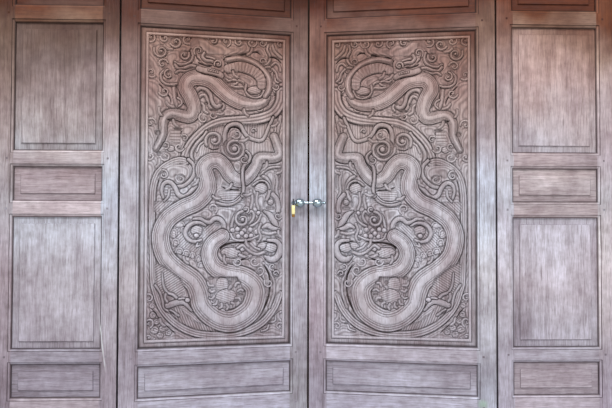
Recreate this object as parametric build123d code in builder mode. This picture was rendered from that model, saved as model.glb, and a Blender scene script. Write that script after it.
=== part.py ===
from build123d import *
from math import radians, tan
import os

os.makedirs("parts", exist_ok=True)

# Driving dimensions, in millimetres and degrees. X runs along the wall, Y into the building, Z up.
# y = 0 is the mid-thickness of the closed leaves, and the origin lies under the middle of the sill.

# Carved leaves
leaf_thickness = 44
door_width = 826
ajar_angle = 9.1
hanging_stile = 82
meeting_stile = 80
door_end_rail = 100
door_small_opening = 131
door_rail = 82
carved_opening = 1407
meeting_gap = 3.4
hinge_gap = 0.8

# Side leaves, by their visible sizes above the sill bed and clear of the jamb. The two tall openings
# share what the rest of the carved leaves' height leaves over.
side_outer_stile = 78
side_opening_width = 375
side_inner_stile = 73
side_bottom_rail = 115
side_small_opening = 138
side_low_rail = 72
side_mid_rail = 74
side_middle_opening = 142
side_waist_rail = 76
side_high_rail = 80
side_top_rail = 91
side_lower_excess = 9
housing_depth = 10

# Frame
sill_height = 116
head_height = 120
jamb_width = 110
frame_depth = 130
rebate_height = 12
rebate_clearance = 0.5
under_clearance = 6
over_clearance = 4
jamb_tenon_length = 50
jamb_tenon_width = 60
jamb_tenon_thickness = 40

# Joinery of every leaf
tenon_thickness = 14
tenon_length = 55
mortise_end_clearance = 2
groove_depth = 12
tongue_length = 10
peg_size = 9
peg_length = 38
peg_inset = 28

# Moulded edge round each opening
moulding_width = 14
moulding_depth = 9
quirk_depth = 2.5

# Raised panels
panel_margin = 26
field_bevel = 4
field_rise = 6

# Carved panel: depths are measured back from the leaf's face
board_front = 12
board_back = 34
band_width = 22
bead_width = 12
bead_rise = 5
ground_depth = 20
highest_relief = 2
relief_margins = (46, 48.5)
arc_share = 0.45
ridge_sink = 1
shoulder_share = 0.33
shoulder_rise = 0.75
upper_dragon_depth = 4
border_width = 30
upper_border_depth = 9
lower_border_depth = 10

# Butt hinges on the inner side, three to a leaf
hinge_height = 100
hinge_plate_depth = 30
hinge_plate = 2.2
knuckle_radius = 5
hinge_offset = 5.5
hinge_pin_radius = 2.6
hinge_pin_clearance = 0.15
hinge_pin_reach = 26
knuckle_clearance = 0.5
hinge_end_distance = 190

# Lock across the meeting line
lock_height = 1059
lock_inset = 40
lock_standoff = 26
boss_length = 44
boss_end_radius = 8
boss_shoulder = (13, 15)
boss_belly = (5, 18)
rose_radius = 16
rose_thickness = 3
foot_radius = 11
foot_end_clearance = 1
bolt_radius = 6.5
bolt_clearance = 0.3
bolt_gap = 2.4
bolt_tail = 10
ball_radius = 7
eye_length = 17
eye_radius = 6.5
eye_root = 1

# Padlock
shackle_radius = 3
shackle_sides = 8
shackle_spacing = 21
shackle_hole_clearance = 0.7
leg_clearance = 0.3
shackle_rise = 31
long_leg_depth = 30
short_leg_depth = 10
leg_end_clearance = 1
case_width = 38
case_thickness = 17
case_height = 40
case_drop = 12.5
case_cap_height = 12
case_fillet = 3

# Levels and planes worked out from the sizes above
half_thickness = leaf_thickness / 2
tongue_front = (leaf_thickness - tenon_thickness) / 2
tongue_back = tongue_front + tenon_thickness
sill_bed = sill_height - rebate_height
door_bottom = sill_bed + under_clearance
door_levels = [0]
for size in (
    door_end_rail,
    door_small_opening,
    door_rail,
    carved_opening,
    door_rail,
    door_small_opening,
    door_end_rail,
):
    door_levels.append(door_levels[-1] + size)
door_height = door_levels[-1]
head_bed = door_bottom + door_height + over_clearance
head_bottom = head_bed - rebate_height
frame_height = head_bottom + head_height

hinge_x = -(meeting_gap / 2 + door_width + hinge_gap / 2)
hinge_y = half_thickness + hinge_offset
side_edge_x = hinge_x - hinge_gap / 2
jamb_edge_x = side_edge_x - side_inner_stile - side_opening_width - side_outer_stile
frame_edge_x = jamb_edge_x - jamb_width

side_bottom = sill_bed - housing_depth
side_top = head_bed + housing_depth
side_lower_part = (side_bottom_rail, side_small_opening, side_low_rail)
side_middle_part = (side_mid_rail, side_middle_opening, side_waist_rail)
side_upper_part = (side_high_rail, side_small_opening, side_top_rail)
tall_openings = head_bed - sill_bed - sum(side_lower_part + side_middle_part + side_upper_part)
side_levels = [housing_depth]
for size in (
    *side_lower_part,
    (tall_openings + side_lower_excess) / 2,
    *side_middle_part,
    (tall_openings - side_lower_excess) / 2,
    *side_upper_part,
):
    side_levels.append(side_levels[-1] + size)
# The end rails reach on into their housings
side_levels[0] = 0
side_levels[-1] = side_top - side_bottom

# The hinge plane stands on the hinge axis and turns with the ajar leaf. A leaf's face plane has its
# origin at the front bottom corner on its outer side, X towards the meeting line and Z out of the face.
hinge_plane = Plane((hinge_x, hinge_y, door_bottom)).rotated((0, 0, ajar_angle))
door_face = Plane(
    hinge_plane.from_local_coords((hinge_gap / 2, -hinge_y - half_thickness, 0)),
    x_dir=hinge_plane.x_dir,
    z_dir=-hinge_plane.y_dir,
)
side_face = Plane((jamb_edge_x - housing_depth, -half_thickness, side_bottom), (1, 0, 0), (0, -1, 0))


class Leaf:
    """The layout of one framed leaf: its face plane, the span between its stiles and its levels."""

    def __init__(self, face, outer_stile, opening_width, inner_stile, levels):
        self.face = face
        self.shoulders = (outer_stile, outer_stile + opening_width)
        self.width = outer_stile + opening_width + inner_stile
        self.height = levels[-1]
        self.rails = list(zip(levels[0::2], levels[1::2]))
        self.openings = list(zip(levels[1::2], levels[2::2]))


door = Leaf(door_face, hanging_stile, door_width - hanging_stile - meeting_stile, meeting_stile, door_levels)
side = Leaf(side_face, housing_depth + side_outer_stile, side_opening_width, side_inner_stile, side_levels)


def rectangle(face, across, up, depth):
    """A rectangle by its limits across and up a face plane, drawn at a depth behind that plane."""
    with BuildSketch(face.offset(-depth)) as outline:
        with Locations(((across[0] + across[1]) / 2, (up[0] + up[1]) / 2)):
            Rectangle(across[1] - across[0], up[1] - up[0])
    return outline.sketch


def block(face, across, up, depth, mode=Mode.ADD):
    """A box by its limits across and up a face plane, and by its depth behind that plane."""
    outline = rectangle(face, across, up, depth[0])
    extrude(outline, amount=depth[0] - depth[1], mode=mode)


def wider(span, amount):
    return (span[0] - amount, span[1] + amount)


def frustum(face, near, far, mode=Mode.ADD):
    """A tapered block between two rectangles, each given as (across, up, depth)."""
    loft([rectangle(face, *near), rectangle(face, *far)], mode=mode)


def cut_seat(leaf, opening):
    """Cuts one opening's panel groove and moulded edge out of the stile or rail being made."""
    across = leaf.shoulders
    groove = (tongue_front, tongue_back)
    block(leaf.face, wider(across, groove_depth), wider(opening, groove_depth), groove, Mode.SUBTRACT)
    edge = (wider(across, moulding_width), wider(opening, moulding_width))
    block(leaf.face, *edge, (0, quirk_depth), Mode.SUBTRACT)
    frustum(leaf.face, (*edge, quirk_depth), (across, opening, moulding_depth), Mode.SUBTRACT)


def peg_places(leaf, shoulders):
    """Where the pegs stand: at mid-height of each rail, set back from the shoulder into the stile."""
    for rail in leaf.rails:
        for shoulder in shoulders:
            outward = -1 if shoulder == leaf.shoulders[0] else 1
            yield shoulder + outward * peg_inset, (rail[0] + rail[1]) / 2


def peg(leaf, place, mode=Mode.ADD):
    x, z = place
    block(leaf.face, wider((x, x), peg_size / 2), wider((z, z), peg_size / 2), (0, peg_length), mode)


def make_stile(leaf, outer, hinge_edge=None):
    """A stile with its mortises, panel grooves, moulded edges, peg holes and any hinge seats."""
    shoulder = leaf.shoulders[0] if outer else leaf.shoulders[1]
    across = (0, shoulder) if outer else (shoulder, leaf.width)
    reach = tenon_length + mortise_end_clearance
    mortise = (shoulder - reach, shoulder) if outer else (shoulder, shoulder + reach)
    with BuildPart() as stile:
        block(leaf.face, across, (0, leaf.height), (0, leaf_thickness))
        for rail in leaf.rails:
            block(leaf.face, mortise, wider(rail, -groove_depth), (tongue_front, tongue_back), Mode.SUBTRACT)
        for opening in leaf.openings:
            cut_seat(leaf, opening)
        for place in peg_places(leaf, (shoulder,)):
            peg(leaf, place, Mode.SUBTRACT)
        if hinge_edge:
            cut_hinge_seats(*hinge_edge)
    return stile.part


def make_rail(leaf, rail):
    """A rail with a tenon at each end."""
    with BuildPart() as bar:
        block(leaf.face, leaf.shoulders, rail, (0, leaf_thickness))
        tenons = wider(leaf.shoulders, tenon_length)
        block(leaf.face, tenons, wider(rail, -groove_depth), (tongue_front, tongue_back))
        for opening in leaf.openings:
            if opening[0] == rail[1] or opening[1] == rail[0]:
                cut_seat(leaf, opening)
        for place in peg_places(leaf, leaf.shoulders):
            if rail[0] < place[1] < rail[1]:
                peg(leaf, place, Mode.SUBTRACT)
    return bar.part


def make_pegs(leaf):
    with BuildPart() as pegs:
        for place in peg_places(leaf, leaf.shoulders):
            peg(leaf, place)
    return pegs.part


def make_raised_panel(leaf, opening):
    """A board whose tongue sits in the grooves, with a bevelled field raised inside its margin."""
    across = leaf.shoulders
    with BuildPart() as panel:
        tongue = (wider(across, tongue_length), wider(opening, tongue_length))
        block(leaf.face, *tongue, (tongue_front, tongue_back))
        foot = (wider(across, -panel_margin), wider(opening, -panel_margin))
        top = (wider(foot[0], -field_bevel), wider(foot[1], -field_bevel))
        frustum(leaf.face, (*foot, tongue_front), (*top, tongue_front - field_rise))
    return panel.part


# Relief of the carved panel, in its own plane: the origin is the middle of the opening, X runs towards
# the meeting line and Z out of the ground. Every route below was chosen by hand, and all are stretched
# together until the farthest point of any keeps its margin, across and up, to the opening's edges.
carved_span = door.openings[1]
ground = Plane(
    door_face.from_local_coords((sum(door.shoulders) / 2, sum(carved_span) / 2, -ground_depth)),
    x_dir=door_face.x_dir,
    z_dir=door_face.z_dir,
)
lower_dragon = [
    (60, -205), (-25, -212), (-42, -362), (168, -402), (186, -555), (70, -610), (-48, -588),
    (-82, -440), (-243, -312), (-252, -150), (-52, -62), (-58, 122), (12, 128), (68, 28),
    (128, 26), (184, 142), (272, 138), (262, 240),
]
lower_dragon_widths = (62, 92, 88, 70, 66, 56, 34, 26)
upper_dragon = [
    (-262, 165), (-235, 240), (-240, 328), (-112, 322), (-105, 385), (-160, 460), (-95, 505),
    (-20, 488), (50, 400), (200, 385), (275, 430), (225, 570), (60, 590), (28, 500),
]
upper_dragon_widths = (24, 42, 48, 54, 58)
upper_band = [(281, 360), (255, 318), (150, 300), (0, 296), (-100, 225), (-146, 119)]
lower_band = [
    (-150, 119), (-255, 100), (-284, -20), (-286, -400), (-235, -560), (-60, -655), (120, -655),
    (240, -590), (281, -480),
]
relief_points = lower_dragon + upper_dragon + upper_band + lower_band
half_opening = ((door.shoulders[1] - door.shoulders[0]) / 2, carved_opening / 2)
relief_stretch = [
    (half_opening[axis] - relief_margins[axis]) / max(abs(point[axis]) for point in relief_points)
    for axis in (0, 1)
]


def rounded_route(points):
    """A route of straight runs and tangent arcs on the ground, each arc as large as its runs allow."""
    radii = []
    for before, corner, after in zip(points, points[1:], points[2:]):
        run_in = Vector(*corner) - Vector(*before)
        run_out = Vector(*after) - Vector(*corner)
        reach = arc_share * min(run_in.length, run_out.length)
        radii.append(reach / tan(radians(run_in.get_angle(run_out) / 2)))
    with BuildLine(ground) as route:
        FilletPolyline(*points, radius=radii)
    return route.wire()


def ridge(points, widths, depth):
    """A faceted ridge along a route: widths shared out evenly, crest at a depth below the face."""
    route = rounded_route([(x * relief_stretch[0], y * relief_stretch[1]) for x, y in points])
    rise = ground_depth - depth
    sections = []
    for index, width in enumerate(widths):
        share = index / (len(widths) - 1)
        along = route % share
        with BuildSketch(Plane(route @ share, x_dir=ground.z_dir.cross(along), z_dir=along)) as section:
            with BuildLine():
                Polyline(
                    (-width / 2, -ridge_sink),
                    (-width * shoulder_share, rise * shoulder_rise),
                    (0, rise),
                    (width * shoulder_share, rise * shoulder_rise),
                    (width / 2, -ridge_sink),
                    close=True,
                )
            make_face()
        sections.append(section.sketch)
    sweep(sections, path=route, multisection=True)


def make_carved_panel():
    """The thick board of a carved leaf: margin band, bead frame, sunk ground and the raised dragons."""
    across = door.shoulders
    with BuildPart() as panel:
        tongue = (wider(across, tongue_length), wider(carved_span, tongue_length))
        block(door_face, *tongue, (tongue_front, tongue_back))
        block(door_face, across, carved_span, (board_front, board_back))
        bead = (wider(across, -band_width), wider(carved_span, -band_width))
        field = (wider(bead[0], -bead_width), wider(bead[1], -bead_width))
        block(door_face, *bead, (board_front - bead_rise, board_front))
        block(door_face, *field, (board_front - bead_rise, ground_depth), Mode.SUBTRACT)
        ridge(lower_dragon, lower_dragon_widths, highest_relief)
        ridge(upper_dragon, upper_dragon_widths, upper_dragon_depth)
        ridge(upper_band, (border_width, border_width), upper_border_depth)
        ridge(lower_band, (border_width, border_width), lower_border_depth)
    return panel.part


def hinge_middles():
    """Heights of the three hinges above the leaf's bottom edge."""
    return (hinge_end_distance, door.height / 2, door.height - hinge_end_distance)


def cut_hinge_seats(face, edge, inward):
    """Lets the hinge plates into the edge of the stile being made, flush with it."""
    for middle in hinge_middles():
        up = wider((middle, middle), hinge_height / 2)
        sunk = sorted((edge, edge + inward * hinge_plate))
        block(face, sunk, up, (leaf_thickness - hinge_plate_depth, leaf_thickness), Mode.SUBTRACT)


def make_hinge_half(face, edge, inward, lower):
    """Three hinge plates with their knuckles; the lower halves carry the pins of the lift-off hinges."""
    knuckle_x = edge - inward * hinge_gap / 2
    plate = sorted((edge, edge + inward * hinge_plate))
    depth = (leaf_thickness - hinge_plate_depth, leaf_thickness)
    with BuildPart() as half:
        for middle in hinge_middles():
            block(face, plate, wider((middle, middle), hinge_height / 2), depth)
            if lower:
                knuckle = (middle - hinge_height / 2, middle - knuckle_clearance / 2)
            else:
                knuckle = (middle + knuckle_clearance / 2, middle + hinge_height / 2)
            block(face, plate, knuckle, (leaf_thickness, leaf_thickness + hinge_offset))
            foot = face.from_local_coords((knuckle_x, knuckle[0], -leaf_thickness - hinge_offset))
            with BuildSketch(Plane(foot)) as barrel:
                Circle(knuckle_radius)
            extrude(barrel.sketch, amount=knuckle[1] - knuckle[0])
            with BuildSketch(Plane(foot)) as bore:
                Circle(hinge_pin_radius + (0 if lower else hinge_pin_clearance))
            if lower:
                extrude(bore.sketch, amount=knuckle[1] - knuckle[0] + hinge_pin_reach)
            else:
                socket_depth = hinge_pin_reach + knuckle_clearance
                extrude(bore.sketch, amount=socket_depth, mode=Mode.SUBTRACT)
    return half.part


# Lock: its axis lies along X, in front of the meeting line, through the middle of each boss
lock_place = (door_width - lock_inset, lock_height - door_bottom)
boss_middle = door_face.from_local_coords((*lock_place, lock_standoff))
lock_face = Plane(door_face.from_local_coords((*lock_place, 0)), x_dir=door_face.x_dir, z_dir=door_face.z_dir)


def across_lock(x):
    """The plane square to the lock's axis at a distance x from the middle of the door."""
    return Plane((x, boss_middle.Y, boss_middle.Z), x_dir=(0, 1, 0), z_dir=(1, 0, 0))


def rod(start, end, radius, mode=Mode.ADD):
    """A round bar along the lock's axis."""
    with BuildSketch(across_lock(start)) as disc:
        Circle(radius)
    extrude(disc.sketch, amount=end - start, mode=mode)


def egg():
    """The egg-shaped boss on its foot and rose, on the left-hand leaf, turned as a run of cones."""
    with BuildSketch(lock_face) as rose:
        Circle(rose_radius)
    extrude(rose.sketch, amount=rose_thickness)
    with BuildSketch(lock_face) as foot:
        Circle(foot_radius)
    extrude(foot.sketch, amount=lock_standoff - bolt_radius - bolt_clearance - foot_end_clearance)
    half_profile = [(boss_length / 2, 0), (boss_length / 2, boss_end_radius), boss_shoulder, boss_belly]
    with BuildSketch(Plane(boss_middle, x_dir=(1, 0, 0), z_dir=(0, -1, 0))) as profile:
        with BuildLine():
            Polyline(*half_profile, *[(-x, y) for x, y in reversed(half_profile)], close=True)
        make_face()
    revolve(profile.sketch, axis=Axis(boss_middle, (1, 0, 0)))


def make_left_boss():
    """The boss with its neck to the meeting line and the eye that the padlock passes through."""
    with BuildPart() as boss:
        egg()
        rod(boss_middle.X, -bolt_gap / 2, bolt_radius)
        rod(eye_x - eye_length / 2, boss_middle.X, eye_radius)
        with BuildSketch(Plane((eye_x, boss_middle.Y, boss_middle.Z - eye_radius))) as hole:
            Circle(shackle_radius + shackle_hole_clearance)
        extrude(hole.sketch, amount=2 * eye_radius, mode=Mode.SUBTRACT)
    return boss.part


def make_right_boss():
    """The mirror-image boss, bored through for the bolt."""
    with BuildPart() as boss:
        egg()
        bore = (boss_middle.X - boss_length, boss_middle.X + boss_length)
        rod(*bore, bolt_radius + bolt_clearance, Mode.SUBTRACT)
    return mirror(boss.part, about=Plane.YZ)


def make_bolt():
    """The sliding bolt, with a ball on the end that is pulled."""
    tail = -boss_middle.X + boss_length / 2 + bolt_tail
    with BuildPart() as bolt:
        rod(bolt_gap / 2, tail, bolt_radius)
        with Locations((tail, boss_middle.Y, boss_middle.Z)):
            Sphere(ball_radius)
    return bolt.part


eye_x = boss_middle.X - boss_length / 2 - eye_length / 2 + eye_root
case_top = boss_middle.Z - case_drop
case_middle_y = boss_middle.Y - shackle_spacing / 2

# The shackle's legs, each by its place along Y and its depth in the case
shackle_legs = (
    (boss_middle.Y, long_leg_depth),
    (boss_middle.Y - shackle_spacing, short_leg_depth),
)


def make_shackle():
    """The bent bar of the padlock, its long leg through the eye and its short leg in front of it."""
    bend_radius = shackle_spacing / 2
    bend_z = case_top + shackle_rise - shackle_radius - bend_radius
    with BuildPart() as shackle:
        for y, depth in shackle_legs:
            with BuildSketch(Plane((eye_x, y, case_top - depth))) as leg:
                RegularPolygon(shackle_radius, shackle_sides)
            extrude(leg.sketch, amount=bend_z - case_top + depth)
        with BuildSketch(Plane((eye_x, boss_middle.Y, bend_z))) as section:
            RegularPolygon(shackle_radius, shackle_sides)
        revolve(section.sketch, axis=Axis((eye_x, case_middle_y, bend_z), (1, 0, 0)), revolution_arc=180)
    return shackle.part


def make_case():
    """The padlock's body with its two leg holes and the narrower cap round its keyway."""
    with BuildPart() as case:
        with BuildSketch(Plane((eye_x, case_middle_y, case_top))) as outline:
            RectangleRounded(case_thickness, case_width, case_fillet)
        extrude(outline.sketch, amount=-case_height)
        with BuildSketch(Plane((eye_x, case_middle_y, case_top - case_height))) as cap:
            RectangleRounded(case_thickness - case_fillet, case_width - case_fillet, case_fillet)
        extrude(cap.sketch, amount=-case_cap_height)
        for y, depth in shackle_legs:
            with BuildSketch(Plane((eye_x, y, case_top))) as hole:
                Circle(shackle_radius + leg_clearance)
            extrude(hole.sketch, amount=-depth - leg_end_clearance, mode=Mode.SUBTRACT)
    return case.part


def box(x, y, z, mode=Mode.ADD):
    """A box of the frame by its limits along X, Y and Z."""
    with BuildSketch(Plane.XY.offset(z[0])) as base:
        with Locations(((x[0] + x[1]) / 2, (y[0] + y[1]) / 2)):
            Rectangle(x[1] - x[0], y[1] - y[0])
    extrude(base.sketch, amount=z[1] - z[0], mode=mode)


front = -frame_depth / 2
back = frame_depth / 2
rebate = (-half_thickness - rebate_clearance, back)
jamb_tenon_middle = (frame_edge_x + jamb_edge_x - housing_depth) / 2


def cut_housings(z):
    """The pockets that the side leaves stand in."""
    for x in ((side_face.origin.X, side_edge_x), (-side_edge_x, -side_face.origin.X)):
        box(x, (-half_thickness, half_thickness), z, Mode.SUBTRACT)


def jamb_tenon(side_sign, z, mode=Mode.ADD):
    middle = side_sign * jamb_tenon_middle
    half = jamb_tenon_thickness / 2
    box(wider((middle, middle), jamb_tenon_width / 2), (-half, half), z, mode)


def make_sill():
    with BuildPart() as sill:
        box((frame_edge_x, -frame_edge_x), (front, back), (0, sill_height))
        box((jamb_edge_x, -jamb_edge_x), rebate, (sill_bed, sill_height), Mode.SUBTRACT)
        cut_housings((side_bottom, sill_height))
        for side_sign in (-1, 1):
            jamb_tenon(side_sign, (sill_height - jamb_tenon_length, sill_height), Mode.SUBTRACT)
    return sill.part


def make_head():
    with BuildPart() as head:
        box((frame_edge_x, -frame_edge_x), (front, back), (head_bottom, frame_height))
        box((jamb_edge_x, -jamb_edge_x), rebate, (head_bottom, head_bed), Mode.SUBTRACT)
        cut_housings((head_bottom, side_top))
        for side_sign in (-1, 1):
            jamb_tenon(side_sign, (head_bottom, head_bottom + jamb_tenon_length), Mode.SUBTRACT)
    return head.part


def make_jamb():
    with BuildPart() as jamb:
        box((frame_edge_x, jamb_edge_x), (front, back), (sill_height, head_bottom))
        cut_housings((sill_height, head_bottom))
        jamb_tenon(1, (sill_height - jamb_tenon_length, head_bottom + jamb_tenon_length))
    return jamb.part


def save(piece, name):
    piece.label = name
    export_step(piece, f"parts/{name}.step")


def save_pair(piece, name):
    """Writes a left-hand piece and its mirror image."""
    save(piece, f"left_{name}")
    save(mirror(piece, about=Plane.YZ, mode=Mode.PRIVATE), f"right_{name}")


save(make_sill(), "sill")
save(make_head(), "head")
save_pair(make_jamb(), "jamb")

# Each hinge edge is a face plane, the stile's edge in it and the direction into the stile
door_hinge_edge = (door_face, 0, 1)
side_hinge_edge = (Plane((hinge_x, -half_thickness, door_bottom), (1, 0, 0), (0, -1, 0)), -hinge_gap / 2, -1)

save_pair(make_stile(side, outer=True), "side_outer_stile")
save_pair(make_stile(side, outer=False, hinge_edge=side_hinge_edge), "side_inner_stile")
for rail, place in zip(side.rails, ("bottom", "low", "mid", "waist", "high", "top")):
    save_pair(make_rail(side, rail), f"side_{place}_rail")
for opening, place in zip(side.openings, ("bottom", "lower", "middle", "upper", "top")):
    save_pair(make_raised_panel(side, opening), f"side_{place}_panel")
with BuildPart() as side_pegs:
    add(make_pegs(side))
    mirror(about=Plane.YZ)
save(side_pegs.part, "side_leaf_pegs")

save_pair(make_stile(door, outer=True, hinge_edge=door_hinge_edge), "door_outer_stile")
save_pair(make_stile(door, outer=False), "door_inner_stile")
for rail, place in zip(door.rails, ("bottom", "lower", "upper", "top")):
    save_pair(make_rail(door, rail), f"door_{place}_rail")
save_pair(make_raised_panel(door, door.openings[0]), "door_bottom_panel")
save_pair(make_carved_panel(), "door_carved_panel")
save_pair(make_raised_panel(door, door.openings[2]), "door_top_panel")
save_pair(make_pegs(door), "door_pegs")

save_pair(make_hinge_half(*side_hinge_edge, lower=True), "hinge_side_plates")
save_pair(make_hinge_half(*door_hinge_edge, lower=False), "hinge_door_plates")

save(make_left_boss(), "left_lock_boss")
save(make_right_boss(), "right_lock_boss")
save(make_bolt(), "lock_bolt")
save(make_shackle(), "padlock_shackle")
save(make_case(), "padlock_case")
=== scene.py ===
import math

import bmesh
import bpy
import numpy as np
from mathutils import Matrix, Vector


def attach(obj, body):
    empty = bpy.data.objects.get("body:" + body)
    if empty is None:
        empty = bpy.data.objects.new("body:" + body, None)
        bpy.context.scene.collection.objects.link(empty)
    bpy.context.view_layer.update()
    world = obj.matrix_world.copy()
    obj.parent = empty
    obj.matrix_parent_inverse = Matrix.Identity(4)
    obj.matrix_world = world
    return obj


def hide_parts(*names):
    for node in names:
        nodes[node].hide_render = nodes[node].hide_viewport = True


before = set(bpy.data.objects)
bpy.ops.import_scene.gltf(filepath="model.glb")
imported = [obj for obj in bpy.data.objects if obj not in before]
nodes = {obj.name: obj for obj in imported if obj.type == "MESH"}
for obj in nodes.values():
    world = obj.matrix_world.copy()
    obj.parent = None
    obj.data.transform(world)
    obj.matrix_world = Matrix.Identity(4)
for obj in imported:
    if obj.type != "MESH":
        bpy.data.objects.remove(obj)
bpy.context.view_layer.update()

AJAR = 9.1                                                 # degrees that each carved leaf stands open
AJAR_COS, AJAR_SIN = math.cos(math.radians(AJAR)), math.sin(math.radians(AJAR))
ALONG = Vector((AJAR_COS, AJAR_SIN, 0))                    # along the left carved leaf, and out of its face
OUTWARD = Vector((AJAR_SIN, -AJAR_COS, 0))


# Materials

class Shader:
    """Adds and links the nodes of one tree."""

    def __init__(self, tree):
        self.tree = tree

    def add(self, kind, inputs=None, **settings):
        node = self.tree.nodes.new(kind)
        for key, value in settings.items():
            setattr(node, key, value)
        for key, value in (inputs or {}).items():
            self.feed(node.inputs[key], value)
        return node

    def feed(self, socket, value):
        if isinstance(value, bpy.types.NodeSocket):
            self.tree.links.new(value, socket)
        else:
            socket.default_value = value

    def math(self, operation, a, b=0.0, c=0.0, clamp=False):
        node = self.add("ShaderNodeMath", operation=operation, use_clamp=clamp)
        for socket, value in zip(node.inputs, (a, b, c)):
            self.feed(socket, value)
        return node.outputs[0]

    def times(self, a, b, clamp=False):
        return self.math("MULTIPLY", a, b, clamp=clamp)

    def less(self, a, b, clamp=False):
        return self.math("SUBTRACT", a, b, clamp=clamp)

    def wobble(self, noise, size, value):
        """The value, moved up and down by a noise."""
        return self.math("MULTIPLY_ADD", self.less(noise, 0.5), size, value)

    def vector(self, operation, a, b, output="Vector"):
        return self.add("ShaderNodeVectorMath", {0: a, 1: b}, operation=operation).outputs[output]

    def split(self, vector, axis):
        return self.add("ShaderNodeSeparateXYZ", {"Vector": vector}).outputs[axis]

    def mix(self, factor, a, b, blend="MIX"):
        node = self.add("ShaderNodeMix", data_type="RGBA", blend_type=blend)
        self.feed(node.inputs["Factor"], factor)
        self.feed(node.inputs["A"], a)
        self.feed(node.inputs["B"], b)
        return node.outputs["Result"]

    def tinted(self, colour, factor):
        return self.mix(1.0, colour, factor, "MULTIPLY")

    def ramp(self, value, *stops, interpolation="LINEAR"):
        """A colour ramp from (place, colour) stops, where a colour may be a grey's one number."""
        node = self.add("ShaderNodeValToRGB", {"Fac": value})
        node.color_ramp.interpolation = interpolation
        elements = node.color_ramp.elements
        while len(elements) < len(stops):
            elements.new(0.5)
        for element, (place, colour) in zip(elements, stops):
            element.position = place
            element.color = (*colour[:3], 1) if isinstance(colour, tuple) else (colour, colour, colour, 1)
        return node.outputs["Color"]

    def by_height(self, level, stops):
        return self.ramp(level, *((z / HEIGHT_RANGE, colour) for z, colour in stops))

    def noise(self, vector, scale, detail=4.0, roughness=0.55, distortion=0.0, stretch=None):
        if stretch:
            vector = self.add("ShaderNodeMapping", {"Vector": vector, "Scale": stretch}).outputs["Vector"]
        return self.add("ShaderNodeTexNoise", {"Vector": vector, "Scale": scale, "Detail": detail,
                                               "Roughness": roughness, "Distortion": distortion}).outputs["Fac"]

    def bump(self, height, strength, distance, normal=None):
        node = self.add("ShaderNodeBump", {"Height": height, "Strength": strength, "Distance": distance})
        if normal is not None:
            self.feed(node.inputs["Normal"], normal)
        return node.outputs["Normal"]


def new_material(name):
    """A material, the helper for its nodes, and the inputs of its surface."""
    material = bpy.data.materials.new(name)
    material.use_nodes = True
    tree = material.node_tree
    return material, Shader(tree), tree.nodes["Principled BSDF"].inputs


def srgb(r, g, b):
    """Linear colour from the usual 0 to 255 values."""
    def line(v):
        v /= 255
        return v / 12.92 if v < 0.04045 else ((v + 0.055) / 1.055) ** 2.4
    return (line(r), line(g), line(b), 1)


# Where each leaf's face lies: the direction into the wood and the face's place along it, in metres
FACES = {
    "left_door": ((-AJAR_SIN, AJAR_COS, 0), 0.108625),
    "right_door": ((AJAR_SIN, AJAR_COS, 0), 0.108625),
    "left_side": ((0, 1, 0), -0.022),
    "right_side": ((0, 1, 0), -0.022),
}
HEIGHT_RANGE = 2.3  # metres over the sill that the ramps by height span
# The wood's colour by height over the sill, as (metres, colour): its own weathered tone, with painted shade from
# the eaves darkening the top and a painted sky sheen in the lilac grey lower down
LEAF_COLOURS_WITH_PAINTED_LIGHT = (
    (0.10, srgb(205, 203, 218)), (0.38, srgb(172, 167, 180)), (0.70, srgb(190, 187, 198)),
    (0.90, srgb(203, 206, 219)), (1.12, srgb(193, 196, 208)), (1.40, srgb(162, 150, 152)),
    (1.60, srgb(146, 125, 123)), (1.78, srgb(120, 94, 85)), (1.93, srgb(86, 46, 31)),
)
# How much lighter or darker each leaf has weathered than that, by height as well
LEAF_WEAR = {
    "left_side": ((0.15, (0.90, 0.87, 0.87)), (0.5, (1.03, 1.00, 0.98)), (1.05, (0.94, 0.92, 0.91)),
                  (1.45, (1.36, 1.30, 1.26)), (1.70, (0.84, 0.83, 0.82))),
    "right_side": ((0.15, (1.00, 0.98, 0.99)), (0.5, (1.12, 1.10, 1.08)), (0.75, (1.12, 1.03, 1.01)),
                   (0.95, (0.96, 0.87, 0.86)), (1.05, (0.84, 0.78, 0.77)), (1.18, (1.12, 1.05, 1.02)),
                   (1.42, (1.45, 1.47, 1.50)), (1.70, (1.70, 1.73, 1.75)), (1.90, (1.30, 1.35, 1.35))),
    "left_door": ((1.0, 1.0), (1.46, 0.88), (1.78, 0.95)),
    "right_door": ((0.6, 1.0), (1.0, 1.04), (1.46, (1.12, 1.12, 1.14)), (1.78, 1.20)),
}
# Drips of paint and a green stain: place, radius and colour
STAINS = {
    "left_side": (((-1.260, -0.02, 1.078), 0.007, srgb(236, 236, 236)),),
    "right_door": (((0.728, 0.005, 0.341), 0.008, srgb(232, 234, 236)),
                   ((0.767, 0.01, 0.175), 0.022, srgb(140, 186, 140))),
}
# The chalk line down the left side's inner stile: where it crosses the sill, its slant, its half width, and the
# middle and half of the height that it spans
CHALK_FOOT, CHALK_SLANT, CHALK_HALF_WIDTH, CHALK_MIDDLE, CHALK_HALF_HEIGHT = 0.827, 0.141, 0.004, 0.443, 0.124
MOULDING_RANGE = 0.025  # metres behind the face that the ramps of grime with painted shade and of the painted crest highlight span
PLAIN = (1, 1, 1, 1)


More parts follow.
